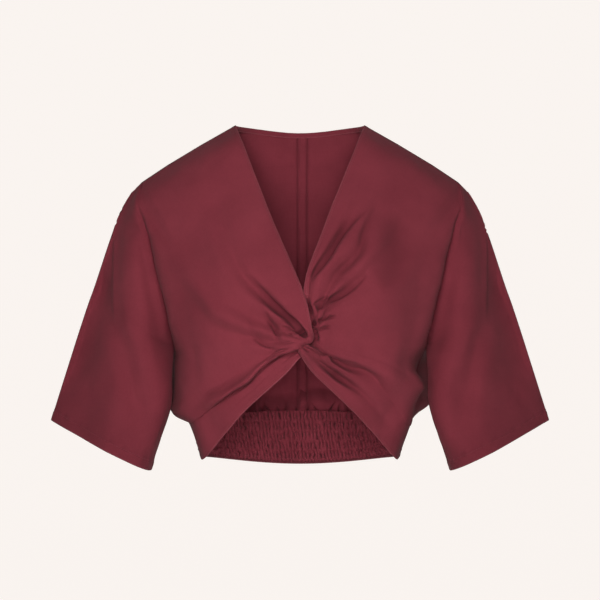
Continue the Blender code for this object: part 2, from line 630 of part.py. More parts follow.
def build_waistband():
    across = even(-1, 1, 4 * WAISTBAND_PUCKERS)
    places = even(0, 1, 2 * WAISTBAND_ROWS + 1)
    skin = Skin(False, True)
    index = skin.grid(waistband_points(places, across))
    raised = np.zeros(len(skin.points))
    for row, place in enumerate(places):
        between_rows = abs(np.sin(np.pi * WAISTBAND_ROWS * min(place / WAISTBAND_PLAIN_SHARE, 1)))
        wave = 0.5 + 0.5 * np.cos(np.pi * WAISTBAND_PUCKERS * across)
        raised[index[row]] = PUCKER_HEIGHT * between_rows * wave * (np.abs(across) < PUCKER_REACH)
    skin.flatten(index[:, 0], Y_AXIS)
    skin.flatten(index[:, -1], Y_AXIS)
    skin.flatten(index[0], Z_AXIS)
    wall("back_waistband", skin.points, skin.faces, WAISTBAND_WALL, skin.flat, raised)


def build_binding():
    """The binding of the back neck, on the inside of the two backs."""
    x = NECK_HALF_WIDTH * np.sin(even(-BINDING_REACH, BINDING_REACH, 30) * np.pi / 2)
    top_y, top_z = back_top(x)
    slope = np.gradient(top_y, x)
    length = np.hypot(slope, 1)
    inside = BINDING_WALL + BINDING_CLEARANCE
    rows = []
    for share in (0.0, 0.5, 1.0):
        rise = BINDING_HEIGHT * share
        lean = BINDING_LEAN * rise
        rows.append(np.column_stack([
            x + slope / length * (inside - lean),
            top_y - (inside - lean) / length,
            top_z - rise,
        ]))
    skin = Skin(False, True)
    skin.grid(np.array(rows))
    wall("neck_binding", skin.points, skin.faces, BINDING_WALL, skin.flat)


for old in list(bpy.data.objects):
    bpy.data.objects.remove(old)
build_fronts()
build_backs()
build_waistband()
build_binding()
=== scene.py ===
# %% [markdown]
# # A twist-front crop top in washed cotton
# The garment has a deep V neck, a twist at the centre of its front, elbow-length sleeves cut in one
# with the body, and a smocked waistband across the back.
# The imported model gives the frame. Its plain solids stay in the physics, and each is replaced here by
# a thin cloth that follows the same form with finer folds, hems, stitches and smocking.
# Metres, +Z up, the front faces -Y, and left and right are as seen from the front.

# %% Load the frame
import math
import random

import bmesh
import bpy
import numpy as np
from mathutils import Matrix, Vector, noise


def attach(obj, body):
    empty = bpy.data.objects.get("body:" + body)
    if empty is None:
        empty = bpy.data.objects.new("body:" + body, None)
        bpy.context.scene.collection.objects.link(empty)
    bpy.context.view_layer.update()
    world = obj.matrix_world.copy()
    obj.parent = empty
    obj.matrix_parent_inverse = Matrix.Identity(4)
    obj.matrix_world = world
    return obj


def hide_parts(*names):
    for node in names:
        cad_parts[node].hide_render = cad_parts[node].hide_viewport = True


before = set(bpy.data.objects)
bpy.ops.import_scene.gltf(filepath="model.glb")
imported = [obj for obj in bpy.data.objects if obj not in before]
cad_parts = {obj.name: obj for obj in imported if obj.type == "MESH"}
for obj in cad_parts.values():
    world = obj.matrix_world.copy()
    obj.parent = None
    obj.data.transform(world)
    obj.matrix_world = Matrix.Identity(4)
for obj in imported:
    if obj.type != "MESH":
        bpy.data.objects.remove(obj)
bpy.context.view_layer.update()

print("nodes in the frame:", sorted(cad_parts))

# %% [markdown]
# ## The camera
# A product photograph of a garment is taken level and from far away, so that the sides don't spread.
# The camera stands 3 m in front, at the height of the garment's middle, with a long lens: the frame
# is then 0.78 m wide at the garment, as in the photograph.

# %% Place the camera
CAMERA_DISTANCE = 3.0
CAMERA_HEIGHT = -0.2262
FRAME_WIDTH = 0.78
SENSOR_WIDTH = 36.0


def add_object(name, data):
    """A new object in the scene."""
    made = bpy.data.objects.new(name, data)
    bpy.context.scene.collection.objects.link(made)
    return made


camera_data = bpy.data.cameras.new("studio_camera")
camera_data.sensor_width = SENSOR_WIDTH
camera_data.lens = SENSOR_WIDTH * CAMERA_DISTANCE / FRAME_WIDTH
camera = add_object("studio_camera", camera_data)
camera.location = (0, -CAMERA_DISTANCE, CAMERA_HEIGHT)
camera.rotation_euler = (math.pi / 2, 0, 0)
bpy.context.scene.camera = camera
print("lens:", round(camera_data.lens, 1), "mm")

# %% [markdown]
# ## Curves through a few measured rows
# Cloth is easier to describe by a few fold lines than by its points. Each table below has a row for
# each fold or section, and a smooth curve through the rows gives every point in between.

# %% Read a table as a smooth curve
def through(knots, values, at):
    """The smooth curve through values, which are rows of numbers at rising knots, read at each place."""
    knots = np.asarray(knots, float)
    values = np.asarray(values, float)
    at = np.clip(np.asarray(at, float), knots[0], knots[-1])
    spans = np.diff(knots)
    slopes = np.diff(values, axis=0) / spans[:, None]
    tangents = np.empty_like(values)
    tangents[0] = slopes[0]
    tangents[-1] = slopes[-1]
    before = spans[:-1, None]
    after = spans[1:, None]
    tangents[1:-1] = (after * slopes[:-1] + before * slopes[1:]) / (before + after)
    index = np.clip(np.searchsorted(knots, at, side="right") - 1, 0, len(spans) - 1)
    span = spans[index][:, None]
    share = ((at - knots[index]) / spans[index])[:, None]
    square = share**2
    cube = share**3
    return (
        (2 * cube - 3 * square + 1) * values[index]
        + (cube - 2 * square + share) * span * tangents[index]
        + (3 * square - 2 * cube) * values[index + 1]
        + (cube - square) * span * tangents[index + 1]
    )


def read_row(table, at):
    """A row between a table's rows, at this value of its first column."""
    return through([row[0] for row in table], [row[1:] for row in table], [at])[0]


def read_second(table, at):
    """The second column of a table, at each of these values of its first column."""
    at = np.asarray(at, float)
    values = through([row[0] for row in table], [row[1:2] for row in table], at.ravel())
    return values[:, 0].reshape(at.shape)


def eased(share):
    """A share that starts and ends softly."""
    share = np.clip(share, 0, 1)
    return share * share * (3 - 2 * share)


def bell(way, half_width):
    """1 at the middle of a fold, falling softly to both sides."""
    return np.exp(-((way / half_width) ** 2))


def steps(*ends_and_counts):
    """Places from the first end on, with the count of steps that is given to each next end."""
    places = [ends_and_counts[0]]
    for end, count in zip(ends_and_counts[1::2], ends_and_counts[2::2]):
        places.extend(np.linspace(places[-1], end, count + 1)[1:])
    return np.array(places)


print("half-way from 0 to 1, eased:", eased(0.5))

# %% [markdown]
# ## The body that the cloth hangs round
# Real cloth takes its depth from the shoulders and the chest inside it. The depth of the front is
# worked out from how far a point lies under the shoulder seam and how near the side it is.

# %% Shoulders, armholes and sections
SEAM_GAP = 0.0003
NECK_HALF_WIDTH = 0.083
# The shoulder seam, from the neck point to the top of the armhole: x, z.
SHOULDER = (
    (0.083, 0.0),
    (0.128, -0.0255),
    (0.172, -0.052),
    (0.205, -0.074),
)
# The armhole fold: share of the way down, ridge x, y, z, valley x, y, z.
ARMHOLE = (
    (0.0, 0.1985, -0.02, -0.083, 0.205, 0.0, -0.074),
    (0.12, 0.2045, -0.0285, -0.101, 0.208, -0.026, -0.099),
    (0.25, 0.1985, -0.04, -0.125, 0.2, -0.0325, -0.124),
    (0.45, 0.1872, -0.0495, -0.165, 0.186, -0.031, -0.165),
    (0.7, 0.1755, -0.052, -0.216, 0.1725, -0.026, -0.215),
    (0.9, 0.1655, -0.05, -0.262, 0.1655, -0.017, -0.262),
    (1.0, 0.1595, -0.043, -0.286, 0.1638, 0.0, -0.285),
)
# How wide the front is where it would meet the back: place along the outer edge, half width.
FRONT_WIDTH = (
    (-1.0, 0.3),
    (-0.3, 0.275),
    (0.0, 0.258),
    (0.12, 0.25),
    (0.25, 0.238),
    (0.45, 0.212),
    (0.7, 0.188),
    (0.9, 0.173),
    (1.0, 0.168),
    (1.5, 0.166),
    (1.9, 0.163),
    (2.0, 0.1475),
    (2.1, 0.146),
    (2.5, 0.139),
    (3.0, 0.131),
)
# How far the front stands out from the shoulders below the bust: z, depth.
FRONT_DEPTH = (
    (-0.46, 0.088),
    (-0.43, 0.092),
    (-0.38, 0.101),
    (-0.33, 0.112),
    (-0.28, 0.119),
    (-0.2, 0.119),
)
# The front leaves the shoulder seam in a round cap, and swells more slowly down to the bust.
CAP_DROP = 0.055
CAP_DEPTH = 0.043
BUST_DROP = 0.24
BUST_DEPTH = 0.076
# How square a section is: across the body, at the waistband, and where it closes at the sides.
BODY_ROUNDNESS = 3.0
WAIST_ROUNDNESS = 2.6
SIDE_ROUNDNESS = 0.45


def shoulder_height(x):
    """z of the shoulder seam over this x, and 0 inside the neck."""
    return np.interp(x, [row[0] for row in SHOULDER], [row[1] for row in SHOULDER])


def narrowing(x, half_width, roundness=BODY_ROUNDNESS):
    """How far a section stands out at x, as a share of its depth at the centre."""
    share = np.clip(np.abs(x) / half_width, 0, 1)
    return (1 - share**roundness) ** SIDE_ROUNDNESS


def front_depth(x, z, half_width):
    """y of the body's front, from the drop under the shoulder and the width of the section."""
    drop = np.maximum(shoulder_height(np.abs(x)) - z, 0)
    near = np.clip(drop / CAP_DROP, 0, 1)
    high = CAP_DEPTH * np.sqrt(1 - (1 - near) ** 2) + BUST_DEPTH * eased(drop / BUST_DROP)
    return -np.minimum(high, read_second(FRONT_DEPTH, z)) * narrowing(x, half_width)


print("depth at the bust:", round(-float(front_depth(0.0, -0.24, 0.168)), 3), "m")

# %% [markdown]
# ## The front as a fan out of the knot
# In a twist front every fold runs into the knot, so the cloth is laid out as a fan. A row is one fold
# line from the knot to the outer edge. Rows follow one another from the V edge, over the shoulder,
# the armhole and the side, round the deep fold over the lower edge, and on to the hem.

# %% Tables of the fold lines
# The side under the arm: place (1 underarm, 2 top of the waistband, 3 hem), then x and z of the seam,
# x and y of the front's ridge, x and y of the back's. Both sides end in the same band.
SIDE_BAND = (
    (2.1, 0.1425, -0.385, 0.1385, -0.044, 0.1385, 0.044),
    (2.5, 0.1355, -0.4055, 0.1315, -0.043, 0.1315, 0.043),
    (3.0, 0.128, -0.4305, 0.1238, -0.0405, 0.1238, 0.0405),
)
SIDE_LEFT = (
    (1.0, 0.1638, -0.285, 0.1595, -0.043, 0.1645, 0.043),
    (1.12, 0.1602, -0.295, 0.156, -0.043, 0.1655, 0.043),
    (1.25, 0.162, -0.306, 0.156, -0.043, 0.168, 0.043),
    (1.5, 0.164, -0.33, 0.156, -0.043, 0.17, 0.043),
    (1.72, 0.1665, -0.353, 0.158, -0.043, 0.1705, 0.043),
    (1.86, 0.167, -0.368, 0.16, -0.043, 0.17, 0.043),
    (1.94, 0.159, -0.3765, 0.1545, -0.043, 0.158, 0.044),
    (2.0, 0.1445, -0.3825, 0.1405, -0.044, 0.1405, 0.044),
    *SIDE_BAND,
)
SIDE_RIGHT = (
    (1.0, 0.1638, -0.285, 0.1595, -0.043, 0.1645, 0.043),
    (1.18, 0.1545, -0.304, 0.147, -0.045, 0.1675, 0.044),
    (1.32, 0.15, -0.317, 0.147, -0.046, 0.1695, 0.045),
    (1.5, 0.152, -0.33, 0.1555, -0.044, 0.1705, 0.045),
    (1.62, 0.153, -0.339, 0.1585, -0.043, 0.1705, 0.045),
    (1.76, 0.151, -0.35, 0.152, -0.042, 0.17, 0.045),
    (1.92, 0.147, -0.367, 0.1435, -0.043, 0.166, 0.044),
    (2.0, 0.144, -0.3825, 0.14, -0.044, 0.1405, 0.044),
    *SIDE_BAND,
)
# Fold line, place on the outer edge, then x, z and height at the knot, near it and half-way out, and
# the height far out.
FOLDS_LEFT = (
    ("neck_edge", -1.0, -0.016, -0.2685, 0.009, -0.006, -0.221, 0.005, 0.031, -0.134, 0.001, 0.0),
    ("strip_mid", -0.88, -0.014, -0.2725, 0.0096, 0.005, -0.2285, 0.008, 0.049, -0.157, 0.002, 0.0),
    ("strip_edge", -0.7, -0.012, -0.2755, 0.0096, 0.016, -0.2365, 0.007, 0.0665, -0.18, 0.003, 0.001),
    ("deep_crease", -0.55, -0.0105, -0.2765, 0.0088, 0.022, -0.242, -0.005, 0.075, -0.189, -0.003, 0.0),
    ("ridge_two", -0.36, -0.009, -0.2775, 0.009, 0.0275, -0.2485, 0.003, 0.085, -0.2, 0.002, 0.001),
    ("crease_two", -0.12, -0.0075, -0.2785, 0.0084, 0.033, -0.259, -0.002, 0.0985, -0.219, -0.001, 0.0),
    ("ridge_three", 0.18, -0.0055, -0.279, 0.009, 0.0365, -0.268, 0.004, 0.105, -0.2375, 0.003, 0.001),
    ("low_crease", 0.55, -0.0035, -0.2795, 0.0082, 0.038, -0.277, -0.002, 0.105, -0.2575, -0.002, -0.001),
    ("underarm", 1.0, -0.002, -0.2805, 0.009, 0.0385, -0.2855, 0.003, 0.1035, -0.281, 0.002, 0.001),
    ("side", 1.45, -0.0005, -0.2815, 0.008, 0.0385, -0.293, 0.001, 0.0985, -0.309, 0.001, 0.002),
    ("soft_trough", 1.75, 0.0005, -0.282, 0.008, 0.0385, -0.2985, 0.001, 0.091, -0.327, 0.0, 0.003),
    ("rim", 1.97, 0.001, -0.283, 0.008, 0.0365, -0.3025, 0.005, 0.083, -0.342, 0.005, 0.003),
    ("under_rim", 2.03, 0.001, -0.2832, 0.002, 0.0368, -0.3012, -0.002, 0.0845, -0.338, -0.001, 0.001),
    ("band_top", 2.1, 0.0005, -0.2855, -0.004, 0.0345, -0.3055, -0.002, 0.081, -0.345, 0.0, 0.001),
    ("band_middle", 2.5, -0.001, -0.291, -0.005, 0.0275, -0.313, -0.002, 0.074, -0.354, 0.001, 0.001),
    ("hem", 3.0, -0.0025, -0.296, -0.003, 0.019, -0.32, 0.0, 0.0665, -0.3635, 0.001, 0.0),
)
FOLDS_RIGHT = (
    ("neck_edge", -1.0, 0.011, -0.2575, -0.001, 0.0055, -0.2075, 0.0, 0.031, -0.1315, 0.001, 0.0),
    ("strip_ridge", -0.88, 0.012, -0.259, -0.001, 0.01, -0.2055, 0.001, 0.043, -0.137, 0.002, 0.0),
    ("strip_trough", -0.74, 0.0128, -0.2605, -0.003, 0.015, -0.204, -0.003, 0.055, -0.1435, -0.003, 0.0),
    ("lap_ridge", -0.66, 0.0135, -0.262, -0.001, 0.0205, -0.2045, 0.002, 0.0625, -0.1465, 0.003, 0.001),
    ("crease_two", -0.46, 0.0155, -0.2655, -0.002, 0.0315, -0.219, -0.002, 0.08, -0.154, -0.003, 0.0),
    ("ridge_two", -0.3, 0.0165, -0.268, 0.0, 0.035, -0.2245, 0.002, 0.089, -0.167, 0.002, 0.001),
    ("crease_three", -0.12, 0.0175, -0.2705, -0.002, 0.0385, -0.23, -0.004, 0.094, -0.183, -0.002, 0.0),
    ("ridge_three", 0.12, 0.0185, -0.2735, 0.0, 0.041, -0.239, 0.003, 0.104, -0.207, 0.002, 0.001),
    ("ridge_four", 0.55, 0.0195, -0.276, 0.0, 0.043, -0.256, 0.002, 0.109, -0.245, 0.001, 0.0),
    ("underarm", 1.0, 0.0195, -0.277, -0.001, 0.044, -0.272, 0.0, 0.1085, -0.279, 0.0, 0.0),
    ("side", 1.45, 0.0195, -0.2778, -0.001, 0.0445, -0.284, 0.002, 0.1035, -0.3, 0.003, 0.002),
    ("fullness", 1.78, 0.019, -0.2785, 0.0, 0.0425, -0.29, 0.003, 0.0975, -0.31, 0.005, 0.005),
    ("rim", 1.97, 0.0185, -0.279, 0.0, 0.0395, -0.294, 0.002, 0.091, -0.3165, 0.003, 0.002),
    ("valley", 2.04, 0.0168, -0.2828, -0.002, 0.038, -0.2965, -0.003, 0.0895, -0.3205, -0.001, 0.001),
    ("strand_one", 2.22, 0.0112, -0.2832, 0.014, 0.0335, -0.2985, 0.005, 0.081, -0.332, 0.002, 0.001),
    ("main_crease", 2.5, 0.006, -0.2855, 0.011, 0.028, -0.3065, -0.002, 0.075, -0.341, -0.003, -0.001),
    ("strand_two", 2.72, 0.001, -0.2875, 0.015, 0.0215, -0.31, 0.006, 0.07, -0.35, 0.002, 0.001),
    ("hem", 3.0, -0.0015, -0.291, 0.011, 0.0145, -0.3155, 0.003, 0.066, -0.3655, 0.0, 0.0),
)
ACROSS_FAN = (0.00, 0.02, 0.22, 0.46, 0.70, 0.92, 1.00)
KNOT_TUCK_LENGTH = 0.0030
KNOT_TUCK_DEPTH = 0.0035
FAR_SHARE = 0.53
SHOULDER_TURN_SHARE = 0.90
SHOULDER_FADE = 0.20
print("fold lines:", len(FOLDS_LEFT), "on the left and", len(FOLDS_RIGHT), "on the right")


# %% Points of a front
def front_edge(side_table, places):
    """The ridge and the edge of the front at each place: the shoulder, the armhole, then the side."""
    ridge = np.empty((len(places), 3))
    edge = np.empty((len(places), 3))
    for row, place in enumerate(places):
        if place < 0:
            along = 1 + place
            x = float(np.interp(along, [0, 1], [SHOULDER[0][0], SHOULDER[-1][0]]))
            edge[row] = (x, -SEAM_GAP / 2, shoulder_height(x))
            ridge[row] = np.nan
        elif place < 1:
            armhole = read_row(ARMHOLE, place)
            ridge[row] = armhole[:3]
            edge[row] = armhole[3:]
            edge[row, 1] = min(edge[row, 1], 0) - SEAM_GAP / 2
        else:
            x, z, ridge_x, ridge_y = read_row(side_table, place)[:4]
            ridge[row] = (ridge_x, ridge_y, z)
            edge[row] = (x, -SEAM_GAP / 2, z)
    return ridge, edge


def front_points(folds, side_table, places, across):
    """Rows of points from the knot to the outer edge, at these places round the edge."""
    values = through([row[1] for row in folds], [row[2:] for row in folds], places)
    ridge, edge = front_edge(side_table, places)
    half_width = read_second(FRONT_WIDTH, places)
    rows = []
    for row, place in enumerate(places):
        start, near, middle = (values[row, at : at + 3] for at in (0, 3, 6))
        turn = middle[:2] + SHOULDER_TURN_SHARE * (edge[row, [0, 2]] - middle[:2])
        ridge_point = np.array([turn[0], front_depth(turn[0], turn[1], half_width[row]), turn[1]])
        if place >= 0:
            ridge_point += eased(place / SHOULDER_FADE) * (ridge[row] - ridge_point)
        far = middle[:2] + FAR_SHARE * (ridge_point[[0, 2]] - middle[:2])
        control = []
        for point, height in (
            (start, start[2]), (near, near[2]), (middle, middle[2]), (far, values[row, 9])
        ):
            y = float(front_depth(point[0], point[1], half_width[row])) - height
            control.append((point[0], y, point[1]))
        inwards = np.array(control[0]) - np.array(control[1])
        inwards /= np.linalg.norm(inwards)
        tuck = np.array(control[0]) + KNOT_TUCK_LENGTH * inwards + (0, KNOT_TUCK_DEPTH, 0)
        rows.append(through(ACROSS_FAN, [tuck, *control, ridge_point, edge[row]], across))
    return np.array(rows)


# %% [markdown]
# ## Sleeves
# The sleeve is one wide tube that opens out of the side of the body. It hangs straight down from the
# shoulder and is flattened front to back, so half of it is worked out as one swell between the inner
# edge under the arm and the outer seam, with a few long soft folds added.

# %% Points of a sleeve half
# The sleeve's inner edge below the underarm: share (1 is the underarm, 2 the hem), x, y, z.
SLEEVE_INNER = (
    (1.0, 0.1638, 0.0, -0.285),
    (1.08, 0.1646, -0.012, -0.2985),
    (1.2, 0.1655, -0.024, -0.318),
    (1.5, 0.1672, -0.032, -0.362),
    (1.75, 0.1812, -0.026, -0.405),
    (2.0, 0.195, -0.018, -0.446),
)
# The sleeve's outer seam: share (0 is the top of the armhole), x, z, how far the sleeve swells there,
# how evenly the swell rises (1 is even, less is sooner), how softly it leaves the inner edge, and how
# soon the sleeve's depth leaves that of its inner edge (1 is even, more is sooner).
SLEEVE_OUTER = (
    (0.0, 0.205, -0.074, 0.0, 0.8, 1.5, 1.0),
    (0.12, 0.2185, -0.0885, 0.005, 0.8, 1.5, 1.1),
    (0.25, 0.2315, -0.1095, 0.014, 0.8, 1.5, 1.3),
    (0.45, 0.245, -0.1455, 0.028, 0.8, 1.45, 1.8),
    (0.7, 0.2575, -0.183, 0.041, 0.78, 1.38, 2.7),
    (0.9, 0.2675, -0.213, 0.048, 0.74, 1.28, 3.9),
    (1.0, 0.273, -0.228, 0.051, 0.71, 1.22, 4.6),
    (1.2, 0.284, -0.261, 0.054, 0.66, 1.12, 5.6),
    (1.5, 0.299, -0.308, 0.055, 0.62, 1.04, 6.0),
    (1.75, 0.311, -0.346, 0.055, 0.6, 1.0, 6.0),
    (2.0, 0.3225, -0.383, 0.053, 0.6, 1.0, 6.0),
)
# How far the two halves stand apart just below the underarm, and down to which share.
UNDERARM_EASE = 0.0007
UNDERARM_EASE_SHARE = 0.40

# Soft folds that run down a sleeve: share at the top, share at the bottom, place across at the top and
# at the bottom (0 is the inner edge, 1 the outer seam), half width across, height.
SLEEVE_FOLDS = (
    (0.3, 1.5, 0.66, 0.5, 0.1, 0.005),
    (0.5, 2.0, 0.84, 0.62, 0.09, -0.005),
    (1.15, 2.0, 0.34, 0.3, 0.1, -0.003),
)
FOLD_RISE = 0.3
FOLD_LOSS = 0.6


def sleeve_points(facing, places, across):
    """Half of a sleeve, from its inner edge to its outer seam. Facing is -1 in front, 1 behind."""
    turn = (1 - np.cos(np.pi * across)) / 2
    rows = []
    for place in places:
        outer_x, outer_z, swell, sooner, softness, lean = read_row(SLEEVE_OUTER, place)
        round_out = np.clip(np.sin(np.pi * turn**sooner), 0, 1) ** softness
        if place < 1:
            inner_x, inner_y, inner_z = read_row(ARMHOLE, place)[3:]
            inner_y = -facing * min(inner_y, 0)
        else:
            inner_x, inner_y, inner_z = read_row(SLEEVE_INNER, place)
        fold = np.zeros_like(across)
        for top, bottom, top_across, bottom_across, half_width, height in SLEEVE_FOLDS:
            share = (place - top) / (bottom - top)
            fade = eased(share / FOLD_RISE) * (1 - FOLD_LOSS * eased((share - 0.5) / 0.5))
            centre = top_across + (bottom_across - top_across) * share
            fold += height * fade * bell(across - centre, half_width)
        ease = UNDERARM_EASE * np.sin(np.pi * np.clip((place - 1) / UNDERARM_EASE_SHARE, 0, 1))
        depth = SEAM_GAP / 2 + ease * (1 - turn) + (swell + fold) * round_out
        rows.append(np.column_stack([
            inner_x + (outer_x - inner_x) * turn,
            inner_y * (1 - turn) ** lean + facing * depth,
            inner_z + (outer_z - inner_z) * turn,
        ]))
    return np.array(rows)


# %% [markdown]
# ## The back
# The back is cut in two halves with a seam down the centre. It hangs from the shoulders, blouses a
# little over the waistband and is gathered into it.

# %% Points of a back half
BACK_NECK_DEPTH = 0.055
BACK_NECK_DROP = 0.0055
BACK_DEPTH = 0.104
BACK_RISE_NEAR = 0.040
BACK_RISE_NEAR_DROP = 0.060
BACK_RISE_LOW_DROP = 0.180
NECK_FADE_DROP = 0.080
BACK_RIDGE_ACROSS = 0.90
BACK_HEM_RISE = 0.008
BACK_OVER_WAISTBAND = 0.0024
BACK_BLOUSING = 0.006
BLOUSING_PLACE = 1.45
WAIST_PLACE = 1.75
BACK_SIDE_FULLNESS = 0.005
FULLNESS_PLACE = 0.7
CLOSING_ACROSS = 0.66
BACK_WIDTH = (
    (0.0, 0.26),
    (0.25, 0.226),
    (0.45, 0.21),
    (0.7, 0.192),
    (1.0, 0.172),
    (1.12, 0.177),
    (1.25, 0.18),
    (1.5, 0.182),
    (1.86, 0.182),
    (2.0, 0.149),
)
# Share down, x at the side, z at the side, z at the centre, depth.
WAISTBAND = (
    (0.0, 0.1415, -0.3805, -0.374, 0.086),
    (0.5, 0.135, -0.406, -0.41, 0.088),
    (1.0, 0.128, -0.43, -0.445, 0.087),
)


def back_top(x):
    """y and z of the back's top edge: the neckline, then the shoulder seam."""
    inside = np.clip(np.abs(x) / NECK_HALF_WIDTH, 0, 1)
    y = BACK_NECK_DEPTH * (1 - inside**2.4) ** 0.6
    z = shoulder_height(np.abs(x)) - BACK_NECK_DROP * (1 - eased(inside))
    return y + SEAM_GAP / 2, z


def back_body(x, place, drop, half_width):
    """y of the upper back, from the drop under its top edge."""
    top_y = back_top(x)[0]
    near = np.clip(drop / BACK_RISE_NEAR_DROP, 0, 1)
    rise = BACK_RISE_NEAR * np.sqrt(1 - (1 - near) ** 2)
    rise = rise + (BACK_DEPTH - BACK_RISE_NEAR) * eased(drop / BACK_RISE_LOW_DROP)
    rise = rise * narrowing(x, half_width)
    neck = top_y * (1 - eased(drop / NECK_FADE_DROP))
    full = (neck**3 + rise**3) ** (1 / 3)
    waist_share = eased((place - WAIST_PLACE) / (2 - WAIST_PLACE))
    side_x, depth = WAISTBAND[0][1], WAISTBAND[0][4]
    waist_x = x * side_x / (side_x + BACK_OVER_WAISTBAND)
    waist = depth * narrowing(waist_x, side_x, WAIST_ROUNDNESS) + BACK_OVER_WAISTBAND
    blouse_share = np.clip((place - BLOUSING_PLACE) / (2 - BLOUSING_PLACE), 0, 1)
    blousing = BACK_BLOUSING * np.sin(np.pi * blouse_share) * narrowing(x, half_width)
    return full * (1 - waist_share) + waist * waist_share + blousing


def back_points(side_table, places, across):
    """The upper back: rows of points from the centre to the outer edge."""
    rows = []
    inside = across <= BACK_RIDGE_ACROSS
    share = np.minimum(across / BACK_RIDGE_ACROSS, 1)
    for place in places:
        if place <= 1:
            armhole = read_row(ARMHOLE, place)
            fullness = BACK_SIDE_FULLNESS * eased((place - FULLNESS_PLACE) / (1 - FULLNESS_PLACE))
            ridge = np.array([armhole[0] + fullness, -armhole[1], armhole[2]])
            edge = np.array([armhole[3], max(-armhole[4], 0) + SEAM_GAP / 2, armhole[5]])
            centre_z = edge[2]
        else:
            x, z, _, _, ridge_x, ridge_y = read_row(side_table, place)
            ridge = np.array([ridge_x, ridge_y, z])
            edge = np.array([x, SEAM_GAP / 2, z])
            centre_z = z + BACK_HEM_RISE * (place - 1)
        x = share * (ridge[0] if place > 0 else edge[0])
        top_y, top_z = back_top(x)
        z = centre_z + (edge[2] - centre_z) * share**2
        z = z + (top_z - SHOULDER[-1][1]) * (1 - min(place, 1.0))
        if place == 0:
            rows.append(np.column_stack([x, top_y, top_z]))
            continue
        half_width = float(read_second(BACK_WIDTH, place))
        y = back_body(x, place, top_z - z, half_width)
        ridge[2] = z[inside][-1]
        close = eased((across - CLOSING_ACROSS) / (BACK_RIDGE_ACROSS - CLOSING_ACROSS))
        y = y + (ridge[1] - y[inside][-1]) * close
        points = np.column_stack([x, y, z])
        beyond = ((across[~inside] - BACK_RIDGE_ACROSS) / (1 - BACK_RIDGE_ACROSS))[:, None]
        points[~inside] = ridge + (edge - ridge) * beyond
        rows.append(points)
    return np.array(rows)


def waistband_points(places, across):
    """The smocked back of the waistband, from the wearer's one side to the other."""
    rows = []
    turn = np.sin(across * np.pi / 2)
    for place in places:
        side_x, side_z, centre_z, depth = read_row(WAISTBAND, place)
        z = centre_z + (side_z - centre_z) * turn**2
        y = depth * narrowing(side_x * turn, side_x + 1e-9, WAIST_ROUNDNESS) + SEAM_GAP / 2
        rows.append(np.column_stack([side_x * turn, y, z]))
    return np.array(rows)


# %% [markdown]
# ## From rows of points to cloth
# A grid operator makes the faces, and each of its points is moved to its place in the rows. Two maps
# go with it: one in metres along the cloth, for the weave, and one that measures the way along a hem
# and the distance from it, for stitches and worn edges. Grids that share an edge are merged, the
# relief of the folds moves the points along their normals, and Solidify gives the cloth its
# thickness on the inside.

# %% A grid of cloth
class Grid:
    """One patch of cloth: its points, their relief, how much painted shade each point's colour gets, its
    maps and seams.
    """

    def __init__(self, rows, rise, hem_side, seams=()):
        self.rows = rows
        self.rise = rise
        # Painted shade: how much darker each point's colour is made, mostly for lying deep in a fold.
        self.fold = np.zeros(rows.shape[:2])
        self.seams = seams
        along = lengths(rows, 1)
        down = lengths(rows, 0)
        self.cloth = np.stack([along, down], axis=-1)
        if hem_side == "first":
            self.edge = np.stack([np.broadcast_to(along[0], along.shape), down], axis=-1)
        else:
            self.edge = np.stack([np.broadcast_to(along[-1], along.shape), down[-1] - down], axis=-1)


def lengths(rows, axis):
    """The way along the cloth from the first row or column, at each point."""
    parts = np.linalg.norm(np.diff(rows, axis=axis), axis=2)
    start = np.zeros_like(np.take(parts, [0], axis=axis))
    return np.concatenate([start, np.cumsum(parts, axis=axis)], axis=axis)


# %% Lay the grids in a mesh
CLOTH = 0.0010
SKIN_OFFSET = 0.0012
MERGE = 2e-5


def finished_mesh(bm, name):
    """Makes a mesh of a bmesh."""
    mesh = bpy.data.meshes.new(name)
    bm.to_mesh(mesh)
    bm.free()
    mesh.shade_smooth()
    return mesh


def lay_grid(bm, grid, layers, material):
    """Lays one grid in the bmesh, with its maps, its relief and the directions that its seams hold."""
    down, along = grid.rows.shape[:2]
    made = bmesh.ops.create_grid(bm, x_segments=along - 1, y_segments=down - 1, size=1.0)
    for vert in made["verts"]:
        across = round((vert.co.x + 1) / 2 * (along - 1))
        row = round((vert.co.y + 1) / 2 * (down - 1))
        vert.co = grid.rows[row, across]
        vert[layers["rise"]] = grid.rise[row, across]
        vert[layers["fold"]] = min(max(grid.fold[row, across], 0), 1)
        for rows, columns, axis in grid.seams:
            if rows[0] <= row <= rows[1] and columns[0] <= across <= columns[1]:
                vert[layers[axis]] = 1
        for loop in vert.link_loops:
            loop[layers["cloth"]].uv = grid.cloth[row, across]
            loop[layers["edge"]].uv = grid.edge[row, across]
            loop.face.material_index = material


